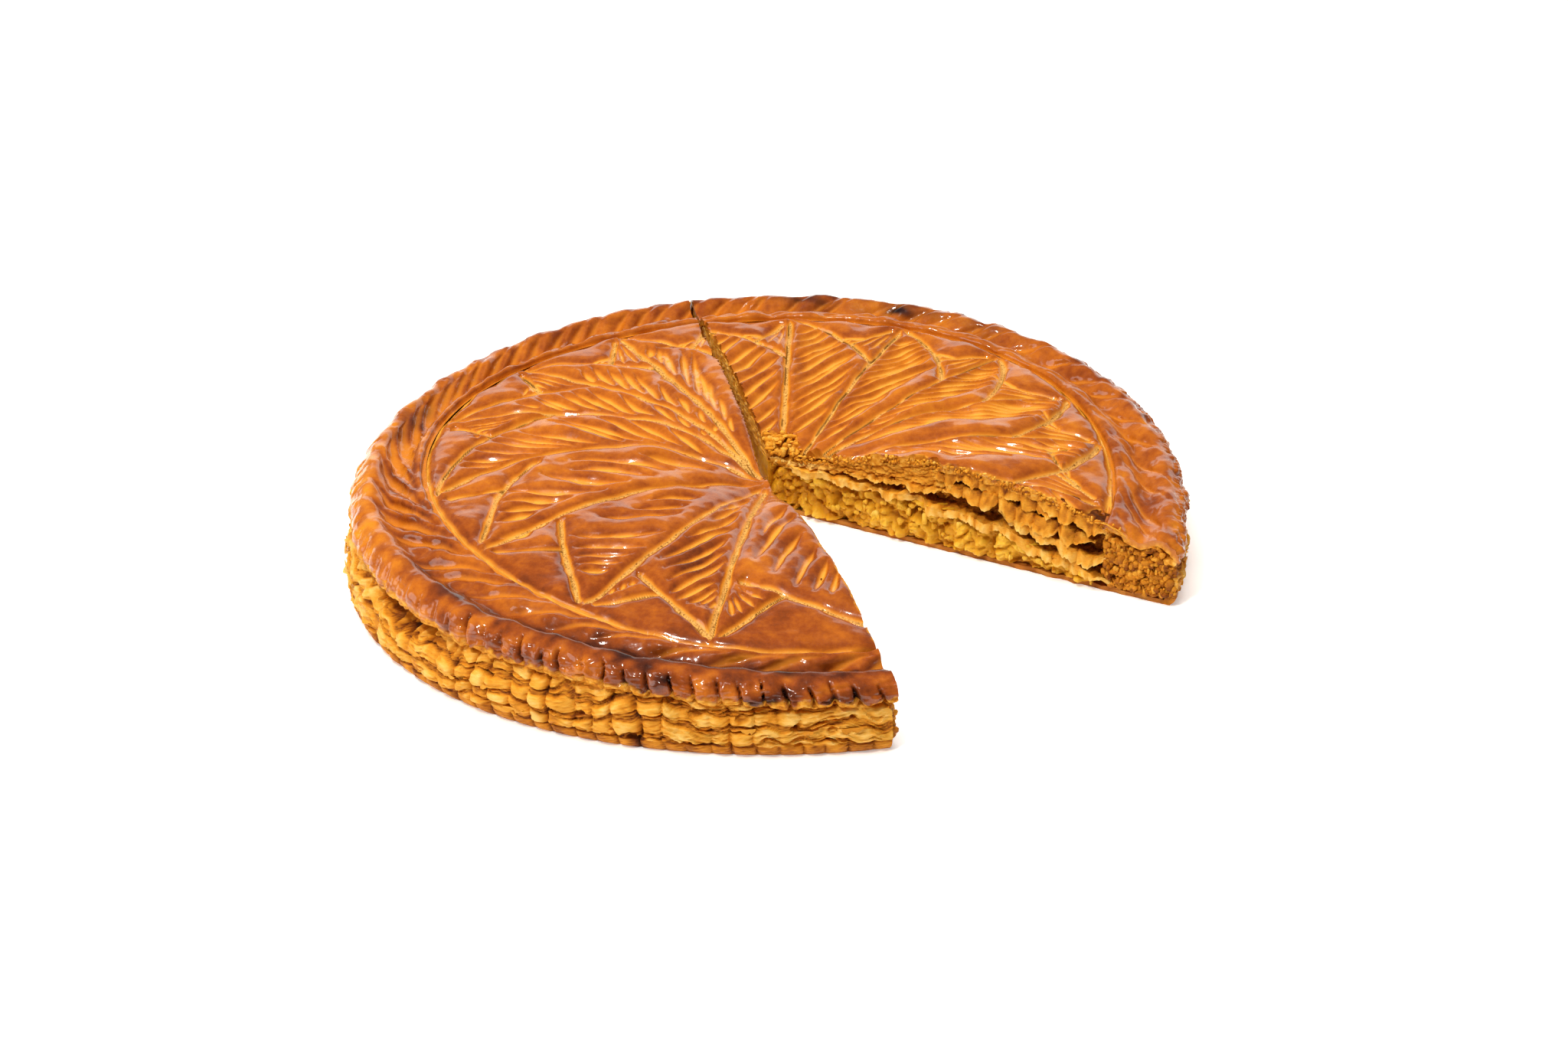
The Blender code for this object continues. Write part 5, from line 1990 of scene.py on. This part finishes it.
@dataclass
class SideFlakes(Part):
    """Loose flakes that curl off the side between the layers."""

    name = "flakes"
    stands_for = ""
    spacing: float = 11.0

    def shape(self) -> None:
        """Scatter the flakes over the lower half of the side."""
        piece = self.piece
        draw = self.draws(600)
        count = int(piece.span * CAKE.side_radius / self.spacing)
        angle = math.radians(piece.start) + draw.uniform(0.01, 0.99, count) * piece.span
        crest = CAKE.crest(angle)
        z = draw.uniform(0.22, 0.42, count) * crest
        x, y = piece.ray(angle, 0.9)
        out = np.stack([np.cos(angle), np.sin(angle), 0 * angle], 1)
        lean = draw.normal(0, 0.12, count)[:, None]
        sideways = np.stack([-np.sin(angle), np.cos(angle), 0 * angle], 1)
        sideways += lean * np.array((0, 0, 1))
        sideways /= np.linalg.norm(sideways, axis=1)[:, None]
        tilt = draw.uniform(-0.15, 0.35, count)[:, None]
        down = np.array((0, 0, -1)) * np.cos(tilt) + out * np.sin(tilt)
        sizes = draw.uniform((4, 0.7), (8, 1.4), (count, 2))
        tone = draw.uniform(0.5, 0.78, count)
        centres = np.column_stack([x, y, z])
        add_flakes(self.mesh, centres, sideways, down, sizes, tone, piece.seed + 601)


@dataclass
class LooseBits:
    """Bits of pastry that lie where the knife dropped them: on the ring at the right and the back.

    A flake has its middle in plan, its heading in degrees, its length and its width, and a crumb
    its middle and its radius.
    """

    flakes: tuple[tuple[float, ...], ...] = ((102.5, -29.0, -40.0, 11.0, 2.4),)
    crumbs: tuple[tuple[float, ...], ...] = ((-29.0, 121.5, 0.9), (-27.4, 122.0, 0.6))

    def build(self, material: Material) -> None:
        """Lay the flakes and crumbs on the top.

        Args:
            material: their finish.
        """
        flakes, crumbs = np.array(self.flakes), np.array(self.crumbs)
        angle = np.radians(flakes[:, 2])
        sideways = np.stack([np.cos(angle), np.sin(angle), 0 * angle - 0.12], 1)
        sideways /= np.linalg.norm(sideways, axis=1)[:, None]
        down = np.stack([np.sin(angle), -np.cos(angle), 0 * angle + 0.35], 1)
        middle = np.column_stack([flakes[:, :2], RIGHT.top(flakes[:, 0], flakes[:, 1]) + 0.4])
        mesh = PieceMesh("loose_bits")
        add_flakes(mesh, middle, sideways, down, flakes[:, 3:], np.full(len(flakes), 0.72), 641)
        centres = np.column_stack([crumbs[:, :2], RIGHT.top(crumbs[:, 0], crumbs[:, 1]) - 0.3])
        add_crumbs(mesh, centres, crumbs[:, 2], 642, np.full(len(crumbs), 0.66))
        mesh.build(material, Slot.CRUST, [])


# Finishes

def srgb(code: str) -> tuple[float, float, float, float]:
    """An sRGB hex colour turned linear: the part over 0.055 to the power 2.4."""
    parts = [int(code[k:k + 2], 16) / 255.0 for k in (1, 3, 5)]
    linear = [p / 12.92 if p <= 0.04045 else ((p + 0.055) / 1.055) ** 2.4 for p in parts]
    return (*linear, 1)


class NodeTree:
    """A material's nodes, added one at a time with their settings and links."""

    def __init__(self, name: str) -> None:
        """Start a material with a Principled shader.

        Args:
            name: the material's name.
        """
        self.material = bpy.data.materials.new(name)
        self.material.use_nodes = True
        self.nodes = self.material.node_tree.nodes
        self.shader = self.nodes["Principled BSDF"]

    def add(self, kind: str, settings: dict | None = None, links: dict | None = None) -> bpy.types.Node:
        """Add a node.

        Args:
            kind: the node's type.
            settings: values of its properties, or of its sockets by name or number.
            links: sockets to feed, each with the socket that feeds it.

        Returns:
            The node.
        """
        node = self.nodes.new(kind)
        for key, value in (settings or {}).items():
            if isinstance(key, str) and hasattr(node, key):
                setattr(node, key, value)
            else:
                node.inputs[key].default_value = value
        for key, source in (links or {}).items():
            self.material.node_tree.links.new(source, node.inputs[key])
        return node

    def set(self, **settings: object) -> None:
        """Set the shader's own sockets, each named with underscores for its spaces."""
        for name, value in settings.items():
            self.shader.inputs[name.replace("_", " ")].default_value = value

    def ramp(self, source: Socket, stops: Sequence) -> Socket:
        """A colour for each value of a source, from stops of a place and an sRGB hex colour.

        Args:
            source: the socket to read.
            stops: places and sRGB hex colours, in order.

        Returns:
            The colour's socket.
        """
        node = self.add("ShaderNodeValToRGB", links={"Fac": source})
        elements = node.color_ramp.elements
        for place, _ in stops[:-2]:
            elements.new(place)
        for element, (place, code) in zip(elements, stops):
            element.position = place
            element.color = srgb(code)
        return node.outputs["Color"]

    def join(self, kind: str, setting: dict, values: dict[int, object]) -> bpy.types.Node:
        """Add a node whose sockets, by number, each take a value or another node's socket."""
        links = {key: value for key, value in values.items() if isinstance(value, Socket)}
        numbers = {key: value for key, value in values.items() if key not in links}
        return self.add(kind, setting | numbers, links)

    def math(self, kind: str, *values: object) -> Socket:
        """A sum, product or other operation on sockets or numbers."""
        return self.join("ShaderNodeMath", {"operation": kind}, dict(enumerate(values))).outputs[0]

    def mix(self, share: object, first: object, second: object) -> Socket:
        """A colour between two, by a share."""
        values = {0: share, 6: first, 7: second}
        return self.join("ShaderNodeMix", {"data_type": "RGBA"}, values).outputs[2]

    def step(self, source: Socket, low: float, high: float) -> Socket:
        """A soft step of a source from 0 to 1."""
        settings = {1: low, 2: high, "interpolation_type": "SMOOTHSTEP"}
        return self.add("ShaderNodeMapRange", settings, {0: source}).outputs[0]

    def noise(self, place: Socket, size: float, detail: float = 3) -> Socket:
        """Noise with bumps of a real size, in millimetres."""
        settings = {"Scale": 1 / (size * MM), "Detail": detail, "Roughness": 0.55}
        return self.add("ShaderNodeTexNoise", settings, {"Vector": place}).outputs["Fac"]

    def value(self, name: str) -> Socket:
        """A value painted on the piece's points."""
        return self.add("ShaderNodeAttribute", {"attribute_name": name}).outputs["Fac"]

    def uneven_tone(self, fine: Socket, clouds: Socket, fine_share: float, cloud_share: float) -> Socket:
        """The painted tone, made uneven by a fine and a coarse noise about their middles.

        Args:
            fine: the fine noise.
            clouds: the coarse one.
            fine_share: how far the fine noise changes the tone.
            cloud_share: how far the coarse one does.

        Returns:
            The tone's socket.
        """
        tone = self.math("MULTIPLY_ADD", fine, fine_share, -0.5 * fine_share)
        tone = self.math("ADD", tone, self.value("tone"))
        cloudy = self.math("MULTIPLY_ADD", clouds, cloud_share, -0.5 * cloud_share)
        return self.math("ADD", tone, cloudy)

    def feed(self, socket: str, source: Socket) -> None:
        """Link a source to one of the shader's sockets."""
        self.material.node_tree.links.new(source, self.shader.inputs[socket])

    def relief(self, source: Socket, height: float, strength: float) -> None:
        """Fine relief, by a bump node, from a source between 0 and 1."""
        settings = {"Distance": height * MM, "Strength": strength}
        bumps = self.add("ShaderNodeBump", settings, {"Height": source})
        self.feed("Normal", bumps.outputs["Normal"])


@dataclass(frozen=True)
class EggWashedCrust:
    """Puff pastry brushed with egg and baked.

    The eye gets a glossy amber film that goes chestnut where it lies thick, golden dough where a
    knife has opened it, dry speckled crumb at the bottom of the widest cuts, and painted shade in
    the thin gap beside the middle of a line.
    """

    roughness: float = 0.20
    coat: float = 0.6
    coat_roughness: float = 0.09
    specular: float = 0.14
    mottle_size: float = 5.0
    speck_size: float = 1.7
    pore_size: float = 0.55
    bubble_size: float = 1.3
    streak_size: float = 1.3
    crumb_size: float = 1.6
    film_stops: tuple = (
        (0.05, "#DC921F"), (0.28, "#C8771A"), (0.46, "#AE5C14"), (0.64, "#8A3F0E"),
        (0.84, "#58240B"), (1.00, "#280F08"),
    )
    opened_stops: tuple = ((0.30, "#C06A16"), (0.62, "#CC7C1E"), (0.82, "#DE9A38"), (1.00, "#D89832"))
    dry_stops: tuple = ((0.34, "#7E5220"), (0.43, "#BE8840"), (0.60, "#D8A658"))
    crumb_stops: tuple = ((0.30, "#A85C10"), (0.52, "#D28C24"), (0.70, "#E4AC4A"))
    soot_stops: tuple = ((0.35, "#160B0C"), (0.70, "#40201C"))
    # Colour of the painted shade in the thin gap beside the middle of a scored line.
    slit_shade_colour: str = "#6A4312"

    def build(self) -> Material:
        """Make the material.

        Returns:
            The material.
        """
        tree = NodeTree("egg_washed_puff_pastry")
        place = tree.add("ShaderNodeTexCoord").outputs["Object"]
        mottle = tree.noise(place, self.mottle_size, 4)
        pores = tree.noise(place, self.pore_size, 2)
        specks = tree.math("MULTIPLY", tree.noise(place, self.speck_size), 0.26)
        blotches = tree.math("ADD", tree.math("MULTIPLY", mottle, 0.26), specks)
        bake = tree.math("ADD", tree.math("SUBTRACT", blotches, 0.26), tree.value("bake"))
        film = tree.ramp(bake, self.film_stops)
        cut = tree.value("cut")
        opened = tree.ramp(tree.math("ADD", cut, tree.math("MULTIPLY", pores, 0.12)), self.opened_stops)
        depth = tree.step(cut, 0.22, 0.62)
        colour = tree.mix(depth, film, opened)
        gape = tree.step(tree.value("slit"), 0.42, 0.66)
        colour = tree.mix(gape, colour, tree.ramp(pores, self.dry_stops))
        # Painted shade in the thin gap beside the middle of each line.
        crack = tree.step(tree.value("crack"), 0.42, 0.95)
        colour = tree.mix(crack, colour, srgb(self.slit_shade_colour))
        colour = tree.mix(tree.value("burn"), colour, tree.ramp(mottle, self.soot_stops))
        crumb = tree.ramp(tree.noise(place, self.crumb_size), self.crumb_stops)
        torn = tree.value("torn")
        colour = tree.mix(torn, colour, crumb)
        tree.feed("Base Color", colour)
        dull = tree.math("MULTIPLY", tree.math("ADD", gape, torn), 0.35)
        streaks = tree.math("MULTIPLY", tree.noise(place, self.streak_size), 0.16)
        tree.feed("Roughness", tree.math("ADD", tree.math("ADD", dull, streaks), self.roughness))
        wet = tree.math("SUBTRACT", 1, tree.math("MAXIMUM", gape, torn))
        tree.feed("Coat Weight", tree.math("MULTIPLY", wet, self.coat))
        rough = tree.math("ADD", tree.math("MULTIPLY", mottle, 0.6), tree.math("MULTIPLY", pores, 0.4))
        bubbles = tree.step(tree.noise(place, self.bubble_size, 1), 0.55, 0.75)
        tree.relief(tree.math("ADD", rough, bubbles), 0.25, 0.16)
        tree.set(Coat_Roughness=self.coat_roughness, Specular_IOR_Level=self.specular)
        return tree.material


@dataclass(frozen=True)
class BakedLayers:
    """Unglazed puff pastry: dry, matt and flaky.

    The eye gets cream and golden flakes with brown creases, and fine lines along the layers. The
    painted tone carries painted light and shade: darkest in creases, holes and recesses, palest
    on what stands out.
    """

    name: str = "flaky_puff_pastry"
    roughness: float = 0.58
    line_size: float = 1.1
    cloud_size: float = 3.5
    specular: float = 0.15
    # The dark end of the ramp carries the painted shade in creases, holes and recesses.
    stops: tuple = (
        (0.00, "#4A2004"), (0.20, "#84440A"), (0.40, "#BC7216"), (0.58, "#D68C22"),
        (0.76, "#E1A23A"), (1.00, "#EBBE66"),
    )

    def build(self) -> Material:
        """Make the material.

        Returns:
            The material.
        """
        tree = NodeTree(self.name)
        place = tree.add("ShaderNodeTexCoord").outputs["Object"]
        flat = tree.add("ShaderNodeMapping", {"Scale": (1, 1, 4.5)}, {"Vector": place}).outputs[0]
        lines = tree.noise(flat, self.line_size, 4)
        tone = tree.uneven_tone(lines, tree.noise(place, self.cloud_size), 0.26, 0.22)
        tree.feed("Base Color", tree.ramp(tone, self.stops))
        tree.relief(lines, 0.5, 0.7)
        tree.set(Roughness=self.roughness, Specular_IOR_Level=self.specular, Subsurface_Weight=0.08)
        tree.set(Subsurface_Radius=(0.9, 0.45, 0.15), Subsurface_Scale=1.2 * MM)
        return tree.material


@dataclass(frozen=True)
class AlmondFilling:
    """Baked almond filling: moist, dense crumb.

    The eye gets mustard yellow, lighter on the lumps as painted light and olive-brown in the
    hollows as painted shade, and a faint sheen.
    """

    roughness: float = 0.5
    specular: float = 0.20
    grain_size: float = 0.9
    cloud_size: float = 5.0
    # The dark end of the ramp holds the painted shade of the hollows, the pale end the painted light on
    # the lumps.
    stops: tuple = (
        (0.00, "#774406"), (0.22, "#AA690C"), (0.45, "#C68614"), (0.65, "#D89C20"),
        (0.85, "#E4B238"), (1.00, "#EDC45A"),
    )

    def build(self) -> Material:
        """Make the material.

        Returns:
            The material.
        """
        tree = NodeTree("baked_almond_filling")
        place = tree.add("ShaderNodeTexCoord").outputs["Object"]
        grain = tree.noise(place, self.grain_size, 4)
        tone = tree.uneven_tone(grain, tree.noise(place, self.cloud_size), 0.30, 0.24)
        tree.feed("Base Color", tree.ramp(tone, self.stops))
        tree.relief(grain, 0.5, 0.6)
        tree.set(Roughness=self.roughness, Specular_IOR_Level=self.specular, Subsurface_Weight=0.15)
        tree.set(Subsurface_Radius=(1, 0.6, 0.15), Subsurface_Scale=1.8 * MM)
        return tree.material


# Studio

@dataclass(frozen=True)
class Studio:
    """A plain pale floor, soft light from above and the camera at the photo's viewing angle."""

    camera_mm: tuple[float, float, float] = (5.10, -1020.21, 525.99)
    camera_tilt: float = 63.1015
    lens: float = 85.0
    sensor: float = 36.0
    floor_reach: float = 6.0

    def build(self) -> None:
        """Make the camera, the lights, the floor and the world."""
        self.make_camera()
        self.make_floor()
        self.make_light("soft_box_above", (-0.12, 0.05, 1.25), (1.1, 1.1), 20, mirrored=False)
        self.make_light("small_lamp", (-0.35, -0.60, 1.05), (0.12, 0.12), 7.5)
        self.make_light("wall_behind", (0.45, 2.3, 0.60), (3.2, 1.1), 10.5)
        self.make_light("window_left", (-1.5, -0.35, 0.70), (0.8, 0.8), 7.5)
        world = bpy.data.worlds.new("white_room")
        world.use_nodes = True
        background = world.node_tree.nodes["Background"]
        background.inputs["Color"].default_value = (1, 0.985, 0.965, 1)
        background.inputs["Strength"].default_value = 0.18
        bpy.context.scene.world = world
        bpy.context.scene.view_settings.view_transform = "Standard"

    def make_camera(self) -> None:
        """The camera, level and looking down along +Y."""
        data = bpy.data.cameras.new("camera")
        data.lens = self.lens
        data.sensor_width = self.sensor
        data.clip_start = 0.05
        camera = place_object("camera", data)
        camera.location = [c * MM for c in self.camera_mm]
        camera.rotation_euler = (math.radians(self.camera_tilt), 0, 0)
        bpy.context.scene.camera = camera

    def make_light(
        self, name: str, place: tuple[float, float, float], size: tuple[float, float], power: float,
        mirrored: bool = True,
    ) -> None:
        """A rectangular soft light that faces the cake.

        Args:
            name: its name.
            place: its middle, in metres.
            size: its width and height.
            power: its power, in watts.
            mirrored: whether the glaze mirrors it.
        """
        data = bpy.data.lights.new(name, "AREA")
        data.shape = "RECTANGLE"
        data.size, data.size_y = size
        data.energy = power
        data.color = (1, 0.965, 0.92)
        light = place_object(name, data)
        light.location = place
        direction = -np.array(place)
        yaw = math.atan2(direction[1], direction[0]) - math.pi / 2
        tilt = math.acos(-direction[2] / np.linalg.norm(direction))
        light.rotation_euler = (tilt, 0, yaw)
        light.visible_glossy = mirrored

    def make_floor(self) -> None:
        """A white sheet on the table."""
        reach = self.floor_reach
        mesh = bpy.data.meshes.new("floor")
        corners = [(reach * x, reach * y, 0) for x, y in ((-1, -1), (1, -1), (1, 1), (-1, 1))]
        mesh.from_pydata(corners, [], [(0, 1, 2, 3)])
        tree = NodeTree("white_paper")
        tree.set(Base_Color=srgb("#F4F3F1"), Roughness=0.7)
        tree.set(Emission_Color=(1, 1, 1, 1), Emission_Strength=0.32)
        mesh.materials.append(tree.material)
        floor = place_object("floor", mesh)


LEDGES = {
    "right": (
        Ledge(3, 118, 0.05, (0.8, 2.8), 1, 0.6, 0.74),
        Ledge(60, 112, 0.66, (3.6, 5), 0, 1, 0.60),
        Ledge(80, 118, 0.38, (3.4, 3), 0.5, 0.8, 0.76),
        Ledge(54, 104, 0.92, (2.4, 3.4), -1, 0.8, 0.52),
        Ledge(90, 118, 0.98, (3.2, 3.6), -0.2, 0.8, 0.56, 0.5),
        Ledge(24, 66, 0.42, (0.8, 1.6), 0.2, 0.7, 0.60),
    ),
    "left": (
        Ledge(4, 112, 0.90, (0.2, 0.4), -0.5, 0.4, 0.62, 0.6),
        Ledge(6, 110, 0.72, (0.6, 0.9), -0.5, 0.5, 0.66),
        Ledge(10, 112, 0.55, (0.8, 1.2), -0.4, 0.6, 0.70),
        Ledge(16, 108, 0.38, (1, 1.4), -0.4, 0.6, 0.74),
        Ledge(6, 114, 0.08, (0.6, 1.2), 0.4, 0.5, 0.76),
        Ledge(60, 116, 0.64, (0.6, 0.8), -0.6, 0.6, 0.60),
    ),
}


def main() -> None:
    """Dress both pieces of the cake and set up the studio."""
    logging.basicConfig(level=logging.INFO, format="%(name)s %(message)s")
    crust = EggWashedCrust().build()
    layers = BakedLayers().build()
    browned = ((0.00, "#5A2E0C"), (0.35, "#925012"), (0.60, "#B87026"), (1.00, "#D09440"))
    base = BakedLayers("baked_base", roughness=0.6, line_size=2.0, stops=browned).build()
    almond = AlmondFilling().build()
    for piece in (LEFT, RIGHT):
        Lid(piece).build(crust)
        Rim(piece).build(crust)
        Side(piece).build(layers)
        SideFlakes(piece).build(layers)
        Base(piece).build(base)
        Filling(piece).build(almond)
        Core(piece).build(layers)
        OpenCut(piece, LEDGES[piece.name]).build(layers)
    LooseBits().build(layers)
    Studio().build()


if __name__ == "__main__":
    main()
